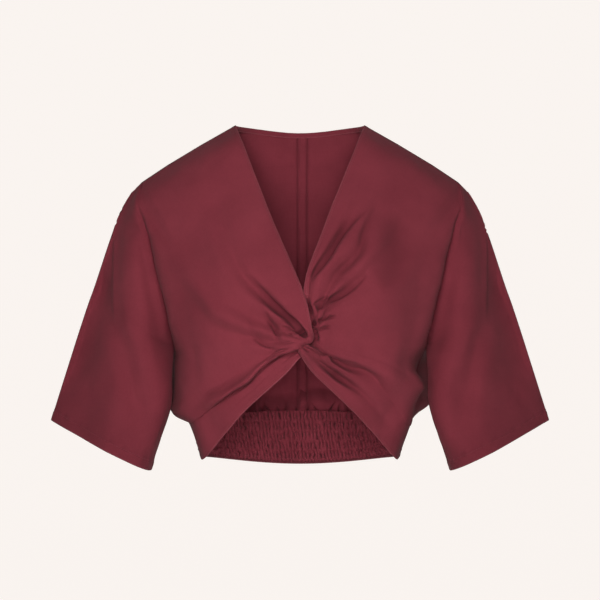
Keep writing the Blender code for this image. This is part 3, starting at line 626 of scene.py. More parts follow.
def make_cloth(name, grids, facing, offset=SKIN_OFFSET, thickness=CLOTH):
    """One piece of cloth. Facing is -1 where its outside faces the front, and 1 where it faces back."""
    bm = bmesh.new()
    layers = {
        "cloth": bm.loops.layers.uv.new("cloth"),
        "edge": bm.loops.layers.uv.new("edge"),
        "rise": bm.verts.layers.float.new("rise"),
        "fold": bm.verts.layers.float.new("fold"),
        "x": bm.verts.layers.int.new("seam_x"),
        "y": bm.verts.layers.int.new("seam_y"),
        "z": bm.verts.layers.int.new("seam_z"),
    }
    for material, grid in enumerate(grids):
        lay_grid(bm, grid, layers, material)
    bmesh.ops.remove_doubles(bm, verts=bm.verts, dist=MERGE)
    bm.normal_update()
    if sum(face.normal.y * face.calc_area() for face in bm.faces) * facing < 0:
        bmesh.ops.reverse_faces(bm, faces=bm.faces)
        bm.normal_update()
    moves = []
    for vert in bm.verts:
        normal = vert.normal.copy()
        for place, axis in enumerate("xyz"):
            if vert[layers[axis]]:
                normal[place] = 0
        moves.append(normal.normalized() * (offset + vert[layers["rise"]]))
    for vert, move in zip(bm.verts, moves):
        vert.co += move
    mesh = finished_mesh(bm, name)
    piece = add_object(name, mesh)
    wall = piece.modifiers.new("cloth_thickness", "SOLIDIFY")
    wall.thickness = thickness
    wall.offset = -1
    area = sum(polygon.area for polygon in mesh.polygons)
    print(f"{name}: {len(mesh.polygons)} faces, {area:.3f} m2 of cloth")
    return piece


# %% [markdown]
# ## Creases
# A crease is a soft trough, or a ridge, along a short curve. It is seldom even: one side is steeper,
# it is deepest somewhere in the middle, and it fades out at its ends. Each is placed on the side of
# the garment that it belongs to, and runs in towards the knot.

# %% Shape of a crease
def crease(x, z, points, depth, above, below, fade_in, fade_out):
    """Relief of one crease over the points x, z. Above and below are its two half widths."""
    line = through(np.linspace(0, 1, len(points)), points, np.linspace(0, 1, 8 * len(points)))
    starts = line[:-1]
    runs = np.diff(line, axis=0)
    offset_x = x[..., None] - starts[:, 0]
    offset_z = z[..., None] - starts[:, 1]
    share = (offset_x * runs[:, 0] + offset_z * runs[:, 1]) / (runs**2).sum(axis=1)
    share = np.clip(share, 0, 1)
    gap = np.hypot(offset_x - share * runs[:, 0], offset_z - share * runs[:, 1])
    nearest = gap.argmin(axis=-1)[..., None]
    distance = np.take_along_axis(gap, nearest, -1)[..., 0]
    turned = runs[:, 0] * offset_z - runs[:, 1] * offset_x
    below_side = np.take_along_axis(turned, nearest, -1)[..., 0] > 0
    along = (nearest[..., 0] + np.take_along_axis(share, nearest, -1)[..., 0]) / len(starts)
    width = np.where(below_side, below, above)
    fade = eased(along / fade_in) * eased((1 - along) / fade_out)
    return depth * fade * bell(distance, width)


def creases(table, rows):
    """Relief of a table of creases over rows of points."""
    relief = np.zeros(rows.shape[:2])
    for name, depth, above, below, fade_in, fade_out, *points in table:
        relief += crease(rows[..., 0], rows[..., 2], points, depth, above, below, fade_in, fade_out)
    return relief


def crumple(rows, layers, seed):
    """Soft uneven relief, as washed cotton has all over. Each layer is its scale and its height."""
    relief = np.zeros(rows.shape[:2])
    for number, (scale, height) in enumerate(layers):
        start = Vector((seed + 5 * number, 0, 0))
        for row, across in np.ndindex(relief.shape):
            at = Vector(rows[row, across]) / scale + start
            relief[row, across] += height * noise.noise(at)
    return relief


# %% Creases of the fronts
# Name, depth (a trough is negative), half width above and below, share that it fades in and out over,
# then x, z of its points from its far end in to the knot.
CREASES_LEFT = (
    ("deep", -0.0088, 0.002, 0.0072, 0.7, 0.15,
     (0.0714, -0.1836), (0.0551, -0.2037), (0.0388, -0.2237), (0.0238, -0.2375), (0.0075, -0.2513),
     (-0.0038, -0.2638), (-0.0125, -0.275)),
    ("under_deep", 0.0012, 0.0026, 0.004, 0.4, 0.2,
     (0.0605, -0.209), (0.036, -0.24), (0.018, -0.251), (0.0001, -0.2594)),
    ("hooked", -0.0056, 0.0045, 0.0018, 0.6, 0.35,
     (0.0534, -0.2306), (0.0418, -0.2492), (0.0303, -0.2665), (0.0275, -0.28)),
    ("fine_upper", -0.0066, 0.0016, 0.002, 0.3, 0.1,
     (0.0243, -0.258), (0.0089, -0.2633), (-0.0025, -0.2665), (-0.0088, -0.2725)),
    ("fine_lower", -0.0028, 0.0014, 0.0016, 0.3, 0.25,
     (0.0185, -0.271), (0.007, -0.2672), (0.0, -0.2645)),
    ("low_hook", -0.0046, 0.004, 0.002, 0.6, 0.35,
     (0.0651, -0.2663), (0.0526, -0.2776), (0.04, -0.285), (0.0281, -0.2901)),
    ("faint", -0.0015, 0.005, 0.004, 0.4, 0.4,
     (0.068, -0.24), (0.056, -0.266), (0.047, -0.281)),
    ("over_rim", -0.0045, 0.0055, 0.004, 0.3, 0.45,
     (0.1353, -0.37), (0.115, -0.348), (0.099, -0.3395), (0.0752, -0.3251), (0.05, -0.309)),
    ("rim_roll", 0.0032, 0.0024, 0.0022, 0.4, 0.1,
     (0.118, -0.364), (0.1, -0.3512), (0.0625, -0.3237), (0.04, -0.3037), (0.02, -0.2887),
     (-0.003, -0.28)),
    ("under_rim", -0.0055, 0.0018, 0.0024, 0.4, 0.1,
     (0.118, -0.368), (0.1025, -0.3555), (0.0875, -0.3442), (0.0675, -0.3317), (0.0475, -0.3117),
     (0.03, -0.299), (0.001, -0.29)),
)
CREASES_RIGHT = (
    ("under_strip", -0.01, 0.0024, 0.0028, 0.15, 0.1,
     (0.006, -0.22), (0.0125, -0.238), (0.0165, -0.2512), (0.0182, -0.264), (0.0215, -0.279)),
    ("strip_gap", -0.0062, 0.0065, 0.0018, 0.55, 0.1,
     (0.0927, -0.0985), (0.0852, -0.112), (0.0714, -0.124), (0.059, -0.137), (0.05, -0.15),
     (0.04, -0.167), (0.029, -0.183), (0.012, -0.204)),
    ("lap", 0.0018, 0.0018, 0.005, 0.3, 0.2,
     (0.076, -0.125), (0.064, -0.138), (0.053, -0.1545), (0.043, -0.174), (0.03, -0.19),
     (0.0125, -0.211)),
    ("second", -0.0036, 0.0045, 0.0055, 0.4, 0.4,
     (0.0944, -0.093), (0.0944, -0.1083), (0.0872, -0.1256), (0.08, -0.1429), (0.0743, -0.1658),
     (0.0556, -0.1846), (0.0441, -0.1946), (0.0368, -0.2062), (0.034, -0.2206)),
    ("third", -0.0068, 0.0065, 0.0018, 0.75, 0.08,
     (0.1045, -0.1658), (0.0858, -0.1846), (0.08, -0.1975), (0.0714, -0.2075), (0.0627, -0.2148),
     (0.0512, -0.2224), (0.0412, -0.227), (0.0297, -0.2335), (0.019, -0.241)),
    ("third_fine", -0.0036, 0.0018, 0.0014, 0.3, 0.1,
     (0.0368, -0.2219), (0.0268, -0.2262), (0.016, -0.2325)),
    ("fourth", -0.0056, 0.0022, 0.002, 0.35, 0.1,
     (0.046, -0.247), (0.034, -0.2485), (0.021, -0.253)),
    ("fifth", -0.0046, 0.002, 0.0018, 0.35, 0.15,
     (0.039, -0.26), (0.03, -0.261), (0.022, -0.264)),
    ("broad", -0.004, 0.022, 0.018, 0.3, 0.3,
     (0.11, -0.102), (0.1177, -0.1322), (0.12, -0.164), (0.113, -0.195), (0.098, -0.215)),
    ("rim_overlap", -0.0052, 0.0016, 0.0055, 0.75, 0.2,
     (0.11, -0.324), (0.0927, -0.3185), (0.0776, -0.3135), (0.0626, -0.3101), (0.0451, -0.3014),
     (0.035, -0.296)),
    ("wrap_upper", -0.0038, 0.0016, 0.0016, 0.2, 0.15,
     (0.034, -0.297), (0.0238, -0.2925), (0.015, -0.288), (0.009, -0.2835)),
    ("wrap_lower", -0.0034, 0.0015, 0.0016, 0.2, 0.15,
     (0.03, -0.299), (0.02, -0.294), (0.011, -0.289), (0.004, -0.2845)),
    ("main", -0.0074, 0.0028, 0.004, 0.65, 0.4,
     (0.0896, -0.3537), (0.0777, -0.344), (0.0656, -0.3345), (0.0536, -0.3262), (0.0441, -0.319),
     (0.0297, -0.308), (0.016, -0.2955)),
)


# The folds that show on the front of both sleeves, with x of the own side.
CREASES_SLEEVE = (
    ("beside_armhole", -0.005, 0.008, 0.012, 0.15, 0.3,
     (0.216, -0.118), (0.2075, -0.145), (0.1985, -0.18), (0.189, -0.22), (0.181, -0.26),
     (0.176, -0.3)),
    ("hang_line", 0.0018, 0.0045, 0.002, 0.12, 0.3,
     (0.2396, -0.142), (0.2396, -0.18), (0.2396, -0.22), (0.2396, -0.264)),
    ("outside", -0.006, 0.017, 0.016, 0.25, 0.3,
     (0.256, -0.178), (0.262, -0.215), (0.272, -0.26), (0.286, -0.31), (0.298, -0.35)),
    ("long_trough", -0.008, 0.015, 0.012, 0.3, 0.4,
     (0.252, -0.2134), (0.2304, -0.2774), (0.218, -0.325), (0.207, -0.37), (0.197, -0.418)),
)
print("creases:", len(CREASES_LEFT), len(CREASES_RIGHT), len(CREASES_SLEEVE))

# %% [markdown]
# ## Hems
# A sleeve hem is turned up twice and topstitched, so it is a little thicker, and the stitching draws
# small puckers. The V edge and the lower edge have a narrow turned hem.

# %% Relief of a hem
# Width of each hem, then how thick it is, how deep its stitching lies and how high its puckers stand.
SLEEVE_HEM = (0.0145, 0.0005, 0.0006, 0.0012)
NECK_HEM = (0.0050, 0.0003, 0.0002, 0.0002)
LOWER_HEM = (0.0065, 0.0004, 0.0003, 0.0003)
# The stitching's distance from the hem's inner edge, its half width and its puckers' size.
STITCH_INSET = 0.0015
STITCH_HALF_WIDTH = 0.0008
PUCKER_SIZES = (0.009, 0.004)
# How the doubled cloth ends, and how far in from the edge the cloth rolls over.
HEM_END = 0.0006
HEM_END_RUN = 0.0014
HEM_ROLL = 0.0015


def hem(edge, width, height, groove, pucker, seed):
    """Relief of a turned hem: the doubled cloth, the groove of its stitching and the puckers there."""
    along = edge[..., 0]
    distance = edge[..., 1]
    doubled = height * (1 - eased((distance - width + HEM_END) / HEM_END_RUN))
    rolled = -height * (1 - eased(distance / HEM_ROLL))
    from_stitches = distance - width + STITCH_INSET
    stitched = -groove * bell(from_stitches, STITCH_HALF_WIDTH)
    drawn = bell(from_stitches, 0.35 * width)
    uneven = np.empty(along.shape[1])
    for at, length in enumerate(along[0]):
        broad, fine = (Vector((length / size, seed, 0)) for size in PUCKER_SIZES)
        uneven[at] = noise.noise(broad) + 0.5 * noise.noise(fine + Vector((0, 0, 3)))
    return doubled + rolled + stitched + pucker * drawn * uneven[None, :]


print("hems:", SLEEVE_HEM[0], NECK_HEM[0], LOWER_HEM[0], "m")

# %% [markdown]
# ## The two fronts with their half of the sleeve
# Each front is one wide piece: chest, lower edge and half a sleeve, cut in one.

# %% Make the fronts
SEAM_CALM = 0.006
ARMHOLE_STEPS = 64
front_places = steps(-1, 0, 56, 1, ARMHOLE_STEPS, 1.9, 26, 2.15, 22, 3, 26)
front_across = steps(0, 0.02, 2, 0.22, 38, 0.46, 44, 0.92, 48, 1, 10)
sleeve_places = steps(0, 1, ARMHOLE_STEPS, 1.9, 60, 2, 14)
sleeve_across = steps(0, 1, 84)
# The crumple of each kind of panel: scale and height of its broad and of its fine layer.
FRONT_CRUMPLE = ((0.050, 0.0022), (0.018, 0.0007))
SLEEVE_CRUMPLE = ((0.055, 0.0024), (0.020, 0.0009))
BACK_CRUMPLE = ((0.050, 0.0018), (0.018, 0.0005))
# The depth of a hem groove or pucker that gets the full painted shade.
PUCKER_SHADE_DEPTH = 0.0020
# The depth of a crease that gets the full painted shade.
FULL_SHADE_DEPTH = 0.0090
# From this place on, a front's edge is its lower hem.
LOWER_EDGE = 2.1


def row_at(places, place):
    """The number of the row that lies at this place."""
    return int(np.argmin(np.abs(places - place)))


def calm(rows, edges):
    """0 on the named edges of a grid, and 1 from a short way in."""
    share = np.ones(rows.shape[:2])
    for edge in edges:
        axis = 1 if edge in ("inner", "outer") else 0
        way = lengths(rows, axis)
        if edge in ("outer", "bottom"):
            way = np.take(way, [-1], axis=axis) - way
        share *= eased(way / SEAM_CALM)
    return share


def sleeve_grid(facing, mirror, seed):
    """Half of a sleeve. Mirror is -1 for the left one."""
    rows = sleeve_points(facing, sleeve_places, sleeve_across)
    rise = crumple(rows, SLEEVE_CRUMPLE, seed)
    if facing < 0:
        rise = rise + creases(CREASES_SLEEVE, rows)
    grid = Grid(rows * (mirror, 1, 1), rise * calm(rows, ("inner", "outer", "top")), "last")
    turned = hem(grid.edge, *SLEEVE_HEM, seed)
    grid.rise = grid.rise + turned
    # Painted shade in the stitching groove, the puckers and the rolled edge of the hem.
    grid.fold = -turned / PUCKER_SHADE_DEPTH
    last = len(sleeve_across) - 1
    grid.seams = (
        ((0, len(sleeve_places)), (last, last), "y"),
        ((ARMHOLE_STEPS, len(sleeve_places)), (0, 0), "y"),
    )
    return grid


def front_grid(folds, side_table, crease_table, mirror, seed):
    """A front without its sleeve. Its tables are for the right side, and mirror is -1 for the left."""
    rows = front_points(folds, side_table, front_places, front_across)
    creased = creases(crease_table, rows)
    rise = (crumple(rows, FRONT_CRUMPLE, seed) + creased) * calm(rows, ("outer",))
    rows = rows * (mirror, 1, 1)
    grid = Grid(rows, rise, "first")
    lower = Grid(rows, rise, "last")
    grid.rise = rise + hem(grid.edge, *NECK_HEM, seed)
    grid.rise = grid.rise + hem(lower.edge, *LOWER_HEM, seed + 2)
    # Painted shade in the troughs of the creases.
    grid.fold = -creased / FULL_SHADE_DEPTH
    below = front_places > LOWER_EDGE
    grid.edge[below] = lower.edge[below]
    last = len(front_across) - 1
    grid.seams = (
        ((0, row_at(front_places, 0)), (last, last), "y"),
        ((row_at(front_places, 1), len(front_places)), (last, last), "y"),
    )
    return grid


front_left = make_cloth("front_left_cloth", [
    front_grid(FOLDS_LEFT, SIDE_LEFT, CREASES_LEFT, -1, 3.0),
    sleeve_grid(-1, -1, 11.0),
], facing=-1)
front_right = make_cloth("front_right_cloth", [
    front_grid(FOLDS_RIGHT, SIDE_RIGHT, CREASES_RIGHT, 1, 23.0),
    sleeve_grid(-1, 1, 31.0),
], facing=-1)

# %% [markdown]
# ## The two backs
# The waistband draws the back in, so many small gathers of different lengths rise out of it. They
# also show from the front, on the inside, through the V and under the twist.

# %% Make the backs
NECK_POINT_ACROSS = BACK_RIDGE_ACROSS * NECK_HALF_WIDTH / SHOULDER[-1][0]
back_places = steps(0, 1, ARMHOLE_STEPS, 1.6, 34, 2, 40)
back_across = steps(0, NECK_POINT_ACROSS, 66, BACK_RIDGE_ACROSS, 78, 1, 8)
BACK_GATHERS = 26
# The tucks that show under the twist, from the centre outwards: way along the waistband, lean (the way
# that the tuck moves outwards for each metre of height), reach, depth, half width.
TUCKS_LEFT = (
    (0.0052, 0.0, 0.014, 0.006, 0.0013),
    (0.02, -0.1, 0.03, 0.003, 0.0024),
    (0.028, 0.15, 0.016, 0.0065, 0.0014),
    (0.0385, 0.42, 0.026, 0.007, 0.0015),
    (0.052, -0.2, 0.034, 0.004, 0.0026),
)
TUCKS_RIGHT = (
    (0.011, 0.1, 0.028, 0.003, 0.0024),
    (0.0236, -0.6, 0.016, 0.0065, 0.0014),
    (0.0375, 0.48, 0.024, 0.007, 0.0015),
    (0.05, 0.1, 0.018, 0.0055, 0.0014),
    (0.064, -0.2, 0.036, 0.004, 0.0026),
)


# The gathers: the share of the width that has them, then what their reach, lean, depth and half width
# are drawn from, and the height over which a gather becomes twice as wide.
GATHERED_SHARE = 0.93
GATHER_REACH = (0.022, 0.035, 0.055, 0.09, 0.14)
GATHER_LEAN = (-0.14, 0.14)
GATHER_DEPTH = (0.0016, 0.0036)
GATHER_HALF_WIDTH = (0.0028, 0.0048)
GATHER_SPREAD = 0.06
# The depth of a tuck that gets the full painted shade.
TUCK_SHADE_DEPTH = 0.0035
# The seam is drawn in, and the pressed allowance leaves a groove beside each of its edges.
SEAM_PULL = 0.0010
SEAM_PULL_WIDTH = 0.0035
SEAM_GROOVE = 0.0020
SEAM_GROOVE_WIDTH = 0.0014
# Painted shade in the groove beside the allowance.
GROOVE_SHADE = 0.6
ALLOWANCE_GROOVE_LEFT = 0.0036
ALLOWANCE_GROOVE_RIGHT = 0.0094


def back_gathers(grid_rows, tucks, seed):
    """Folds that rise out of the waistband, uneven in place, depth and reach, and the painted shade in
    the tucks.
    """
    draw = random.Random(seed)
    along = lengths(grid_rows, 1)
    down = lengths(grid_rows, 0)
    height = down[-1] - down
    width = along[-1].max()
    relief = np.zeros(along.shape)
    fold = np.zeros(along.shape)

    def gather(at, lean, reach, half_width, start):
        fade = (1 - eased(height / reach)) * eased((height + 2 * start) / (3 * start))
        return fade * bell(along - at - lean * height, half_width)

    for number in range(BACK_GATHERS):
        at = width * GATHERED_SHARE * (number + draw.uniform(0.2, 0.8)) / BACK_GATHERS
        reach = draw.choice(GATHER_REACH)
        lean = draw.uniform(*GATHER_LEAN)
        depth = draw.uniform(*GATHER_DEPTH)
        half_width = draw.uniform(*GATHER_HALF_WIDTH) * (1 + height / GATHER_SPREAD)
        relief += depth * gather(at, lean, reach, half_width, 0.002)
    for at, lean, reach, depth, half_width in tucks:
        tuck = gather(at, lean, reach, half_width, 0.001)
        relief += depth * tuck
        # Painted shade inside each tuck.
        fold += depth / TUCK_SHADE_DEPTH * tuck
    return relief, fold


def back_grid(side_table, tucks, mirror, seed):
    """A back half without its sleeve. Mirror is -1 for the left one."""
    rows = back_points(side_table, back_places, back_across)
    rows[:, 0, 0] = SEAM_GAP / 2
    rows[-1, :, 2] += SEAM_GAP / 2
    gathers, fold = back_gathers(rows, tucks, int(seed))
    rise = (crumple(rows, BACK_CRUMPLE, seed) + gathers) * calm(rows, ("outer", "top"))
    along = lengths(rows, 1)
    groove_at = ALLOWANCE_GROOVE_RIGHT if mirror > 0 else ALLOWANCE_GROOVE_LEFT
    rise = rise - SEAM_PULL * bell(along, SEAM_PULL_WIDTH)
    groove = bell(along - groove_at, SEAM_GROOVE_WIDTH)
    grid = Grid(rows * (mirror, 1, 1), rise + SEAM_GROOVE * groove, "first")
    # Painted shade in the tucks and in the groove beside the seam allowance.
    grid.fold = fold + GROOVE_SHADE * groove
    last = len(back_across) - 1
    grid.seams = (
        ((0, 0), (row_at(back_across, NECK_POINT_ACROSS), last), "y"),
        ((ARMHOLE_STEPS, len(back_places)), (last, last), "y"),
        ((0, len(back_places)), (0, 0), "x"),
        ((len(back_places) - 1, len(back_places)), (0, last), "z"),
    )
    return grid


back_left = make_cloth("back_left_cloth", [
    back_grid(SIDE_LEFT, TUCKS_LEFT, -1, 43.0),
    sleeve_grid(1, -1, 51.0),
], facing=1)
back_right = make_cloth("back_right_cloth", [
    back_grid(SIDE_RIGHT, TUCKS_RIGHT, 1, 63.0),
    sleeve_grid(1, 1, 71.0),
], facing=1)

# %% [markdown]
# ## The smocked waistband
# Five rows of elastic thread draw the cloth into narrow ribs. Between two rows the ribs stand up, and
# at each row they are pinched flat, so the ribs are a wave whose height falls to nothing at the rows.
# Both the phase and the height wander, because hand-guided smocking is never even. A plain strip
# below the last row is the hem.

# %% Make the waistband
SMOCKING_ROWS = 5
RIB_PITCH = 0.0048
RIB_HEIGHT = 0.0052
PLAIN_SHARE = 0.93
PLAIN_TURN = 0.0022
# The rib height that gets the full painted shade, and the painted shade of the whole plain hem strip.
RIB_SHADE_HEIGHT = 0.0018
PLAIN_SHADE = 0.35
SIDE_SMOCKING = 0.25
SIDE_FADE = 0.045
# How far a rib's way wanders and drifts, and how its height varies: amount, then size along the band.
RIB_WANDER = (3.4, 0.012)
RIB_DRIFT = (2.4, 0.005)
RIB_LEVEL = (0.95, 0.005)
RIB_LEVEL_MEAN = 0.55
RIB_LEVEL_LEAST = 0.08
PINCH_SHAPE = 0.7
HEM_PINCH = 0.35
HEM_PINCH_RUN = 0.03
band_places = steps(0, PLAIN_SHARE, 46, 1, 10)
band_across = steps(-1, 1, 620)


def wandering(way, amount_and_size, tier, layer):
    """An uneven number along the band."""
    amount, size = amount_and_size
    return amount * noise.noise(Vector((way / size, tier, layer)))


def smocking(rows):
    """Relief of the ribs between the rows of elastic, and of the turned hem below them."""
    along = lengths(rows, 1)
    relief = np.zeros(along.shape)
    for row, place in enumerate(band_places):
        tier = SMOCKING_ROWS * min(place / PLAIN_SHARE, 1)
        pinch = abs(math.sin(math.pi * tier)) ** PINCH_SHAPE
        if place > PLAIN_SHARE:
            pinch = HEM_PINCH * bell(place - PLAIN_SHARE, HEM_PINCH_RUN)
        turned = PLAIN_TURN * max(place - PLAIN_SHARE, 0) / (1 - PLAIN_SHARE)
        for across, way in enumerate(along[row]):
            shift = wandering(way, RIB_WANDER, int(tier) * 3.7, 1)
            shift += wandering(way, RIB_DRIFT, place * 14.0, 7)
            level = RIB_LEVEL_MEAN + wandering(way, RIB_LEVEL, place * 11.0, 4)
            wave = math.cos(2 * math.pi * way / RIB_PITCH + shift)
            relief[row, across] = RIB_HEIGHT * pinch * max(level, RIB_LEVEL_LEAST) * wave + turned
    return relief


band_rows = waistband_points(band_places, band_across)
band_relief = smocking(band_rows)
band_way = lengths(band_rows, 1)
from_side = np.minimum(band_way, band_way[:, -1:] - band_way)
band_relief *= SIDE_SMOCKING + (1 - SIDE_SMOCKING) * eased(from_side / SIDE_FADE)
band_grid = Grid(band_rows, band_relief * calm(band_rows, ("inner", "outer")), "last")
# Painted shade: the ribs' hollows as seen from the inside, and the plain hem strip, are coloured darker.
band_grid.fold = band_relief / RIB_SHADE_HEIGHT
band_grid.fold[band_places > PLAIN_SHARE] += PLAIN_SHADE
band_last = len(band_across) - 1
band_grid.seams = (
    ((0, len(band_places)), (0, 0), "y"),
    ((0, len(band_places)), (band_last, band_last), "y"),
    ((0, 0), (0, band_last), "z"),
)
waistband = make_cloth("waistband_cloth", [band_grid], facing=1)

# %% [markdown]
# ## Neck binding and centre-back seam
# A folded strip finishes the back neck on the inside. Below it the allowance of the centre-back seam
# is pressed flat and overlocked, and shows as a narrow raised strip.

# %% Make the binding and the seam allowance
BINDING_HEIGHT = 0.0070
BINDING_CLEARANCE = 0.0014
BINDING_REACH = 0.97
BINDING_SWELL = 0.0006
BINDING_CRUMPLE = (0.006, 0.0003)
BINDING_ROWS = 9
ALLOWANCE_TOP = 0.020
ALLOWANCE_WIDTH = 0.0090
ALLOWANCE_SHIFT = 0.0015
ALLOWANCE_COLUMNS = 9
ALLOWANCE_CLEARANCE = 0.0006
ALLOWANCE_SWELL = 0.0014
ALLOWANCE_WANDER = (0.0007, 0.02)

binding_across = steps(-BINDING_REACH, BINDING_REACH, 150)
binding_x = NECK_HALF_WIDTH * np.sin(binding_across * np.pi / 2)
neck_y, neck_z = back_top(binding_x)
slope = np.gradient(neck_y, binding_x)
binding_rows = []
for share in np.linspace(0, 1, BINDING_ROWS):
    inside = BINDING_CLEARANCE + BINDING_SWELL * math.sin(math.pi * share)
    binding_rows.append(np.column_stack([
        binding_x + slope / np.hypot(slope, 1) * inside,
        neck_y - inside / np.hypot(slope, 1),
        neck_z - BINDING_HEIGHT * share,
    ]))
binding_rows = np.array(binding_rows)
binding_grid = Grid(binding_rows, crumple(binding_rows, (BINDING_CRUMPLE,), 5.0), "last")
binding = make_cloth("neck_binding_cloth", [binding_grid], facing=-1, offset=0.0)

allowance_places = steps(ALLOWANCE_TOP, 2.0, 150)
allowance_share = np.linspace(0, 1, ALLOWANCE_COLUMNS)
allowance_rows = back_points(SIDE_LEFT, allowance_places, 0.05 * allowance_share)
allowance_rows[..., 0] = ALLOWANCE_WIDTH * allowance_share - ALLOWANCE_SHIFT
for row, way in enumerate(lengths(allowance_rows, 0)[:, 0]):
    wave = wandering(way, ALLOWANCE_WANDER, 0, 9)
    lift = ALLOWANCE_SWELL * eased((allowance_places[row] - 0.05) / 0.05)
    allowance_rows[row, :, 0] += wave
    allowance_rows[row, :, 1] -= ALLOWANCE_CLEARANCE + 0.5 * wave + lift * allowance_share**0.5
allowance_grid = Grid(allowance_rows, np.zeros(allowance_rows.shape[:2]), "last")
allowance = make_cloth("centre_back_allowance", [allowance_grid], facing=-1, offset=0.0)

# %% [markdown]
# ## Effects for the cloth
# Each effect is a node group with named sockets, so every material can place it with its own values:
# the weave of the cotton, the cloudy colour that washing leaves, a stitched line along a hem, and the
# paler edge where dye has worn off.

# %% Helpers for node groups
def new_group(name, inputs, outputs):
    """A group that is given a vector and some numbers and puts out numbers, and its two end nodes."""
    group = bpy.data.node_groups.new(name, "ShaderNodeTree")
    new_socket = group.interface.new_socket
    new_socket("Vector", in_out="INPUT", socket_type="NodeSocketVector")
    for label, value in inputs.items():
        new_socket(label, in_out="INPUT", socket_type="NodeSocketFloat").default_value = value
    for label in outputs:
        new_socket(label, in_out="OUTPUT", socket_type="NodeSocketFloat")
    return group, group.nodes.new("NodeGroupInput").outputs, group.nodes.new("NodeGroupOutput")


def fill(tree, node, inputs):
    """Sets a node's inputs: another node's output is linked, and a number or a colour is a value."""
    for label, value in inputs.items():
        if isinstance(value, bpy.types.NodeSocket):
            tree.links.new(value, node.inputs[label])
        elif value is not None:
            node.inputs[label].default_value = value
    return node


def add_node(tree, kind, inputs):
    return fill(tree, tree.nodes.new("ShaderNode" + kind), inputs)


def math_node(tree, operation, *values):
    """A Math node whose inputs are numbers or other nodes' outputs."""
    node = add_node(tree, "Math", dict(enumerate(values)))
    node.operation = operation
    return node.outputs[0]


def noise_node(tree, vector, scale, detail, roughness=0.5):
    values = {"Vector": vector, "Scale": scale, "Detail": detail, "Roughness": roughness}
    return add_node(tree, "TexNoise", values).outputs["Fac"]


def parts_of(tree, vector):
    """The X, Y and Z of a vector."""
    return add_node(tree, "SeparateXYZ", {0: vector}).outputs


# %% Plain weave
SLUB_ACROSS = 900.0
SLUB_ALONG = 55.0


def weave_group():
    inputs = {"Threads per metre": 1600.0}
    group, given, result = new_group("Plain weave", inputs, ("Height", "Slub"))
    vector = given["Vector"]
    parts = parts_of(group, vector)
    waves = []
    for axis in ("X", "Y"):
        turns = math_node(group, "MULTIPLY", parts[axis], given["Threads per metre"])
        waves.append(math_node(group, "SINE", math_node(group, "MULTIPLY", turns, math.pi)))
    crossing = math_node(group, "MULTIPLY", *waves)
    yarns = []
    for scale in ((SLUB_ACROSS, SLUB_ALONG, 1.0), (SLUB_ALONG, SLUB_ACROSS, 1.0)):
        stretched = add_node(group, "Mapping", {"Vector": vector, "Scale": scale})
        yarns.append(noise_node(group, stretched.outputs["Vector"], 1.0, 2.0))
    fill(group, result, {
        "Height": math_node(group, "MULTIPLY_ADD", crossing, 0.5, 0.5),
        "Slub": math_node(group, "MULTIPLY", math_node(group, "ADD", *yarns), 0.5),
    })
    return group


# %% Cloudy colour of garment-dyed cloth
def wash_group():
    group, given, result = new_group("Washed dye", {}, ("Cloud", "Speckle"))
    fill(group, result, {
        "Cloud": noise_node(group, given["Vector"], 16.0, 4.0, 0.55),
        "Speckle": noise_node(group, given["Vector"], 380.0, 3.0, 0.6),
    })
    return group


# %% A stitched line at a distance from the hem
STITCH_SHARE = 0.72
GROOVE_TO_THREAD = 3.0


def stitch_group():
    inputs = {"Distance": 0.010, "Pitch": 0.0032, "Width": 0.0005}
    group, given, result = new_group("Stitched line", inputs, ("Thread", "Groove"))
    parts = parts_of(group, given["Vector"])
    width = given["Width"]
    off = math_node(group, "SUBTRACT", parts["Y"], given["Distance"])
    off = math_node(group, "ABSOLUTE", off)
    lines = []
    for reach in (width, math_node(group, "MULTIPLY", width, GROOVE_TO_THREAD)):
        near = math_node(group, "SUBTRACT", 1.0, math_node(group, "DIVIDE", off, reach))
        lines.append(math_node(group, "MAXIMUM", near, 0.0))
    turn = math_node(group, "DIVIDE", parts["X"], given["Pitch"])
    dash = math_node(group, "LESS_THAN", math_node(group, "FRACT", turn), STITCH_SHARE)
    fill(group, result, {
        "Thread": math_node(group, "MULTIPLY", lines[0], dash),
        "Groove": lines[1],
    })
    return group


# %% Paler edge
def edge_group():
    group, given, result = new_group("Worn edge", {"Reach": 0.002}, ("Worn",))
    vector = given["Vector"]
    share = math_node(group, "DIVIDE", parts_of(group, vector)["Y"], given["Reach"])
    near = math_node(group, "MAXIMUM", math_node(group, "SUBTRACT", 1.0, share), 0.0)
    patchy = noise_node(group, vector, 260.0, 2.0)
    fill(group, result, {"Worn": math_node(group, "MULTIPLY", near, patchy)})
    return group


WEAVE = weave_group()
WASH = wash_group()
STITCHES = stitch_group()
WORN = edge_group()
print("effects:", [group.name for group in (WEAVE, WASH, STITCHES, WORN)])

# %% [markdown]
# ## The cotton
# The whole garment is one dyed cotton. The colour is mixed from a deep and a faded burgundy by the
# cloudy wash, the slubs of the yarn and a fine speckle. Each piece carries an attribute, fold, that
# paints shade into its colour: deep in creases and tucks, in hem puckers and smocked hollows, along
# the waistband's plain hem and beside the centre-back seam. The hem edges are paler and the thread is
# a touch lighter than the cloth. Roughness is high, because washed cotton is matt.

# %% Build the materials
DEEP = (0.138, 0.0170, 0.0275, 1.0)
FADED = (0.232, 0.0340, 0.0510, 1.0)
# Painted shade: the colour that the fold attribute mixes in, darkening creases, tucks and hollows.
CREASE_SHADE_COLOUR = (0.070, 0.0085, 0.0140, 1.0)
WORN_COLOUR = (0.330, 0.0800, 0.1020, 1.0)
THREAD_COLOUR = (0.250, 0.0500, 0.0680, 1.0)


STITCH_PITCH = 0.0032
WORN_REACH = 0.0022
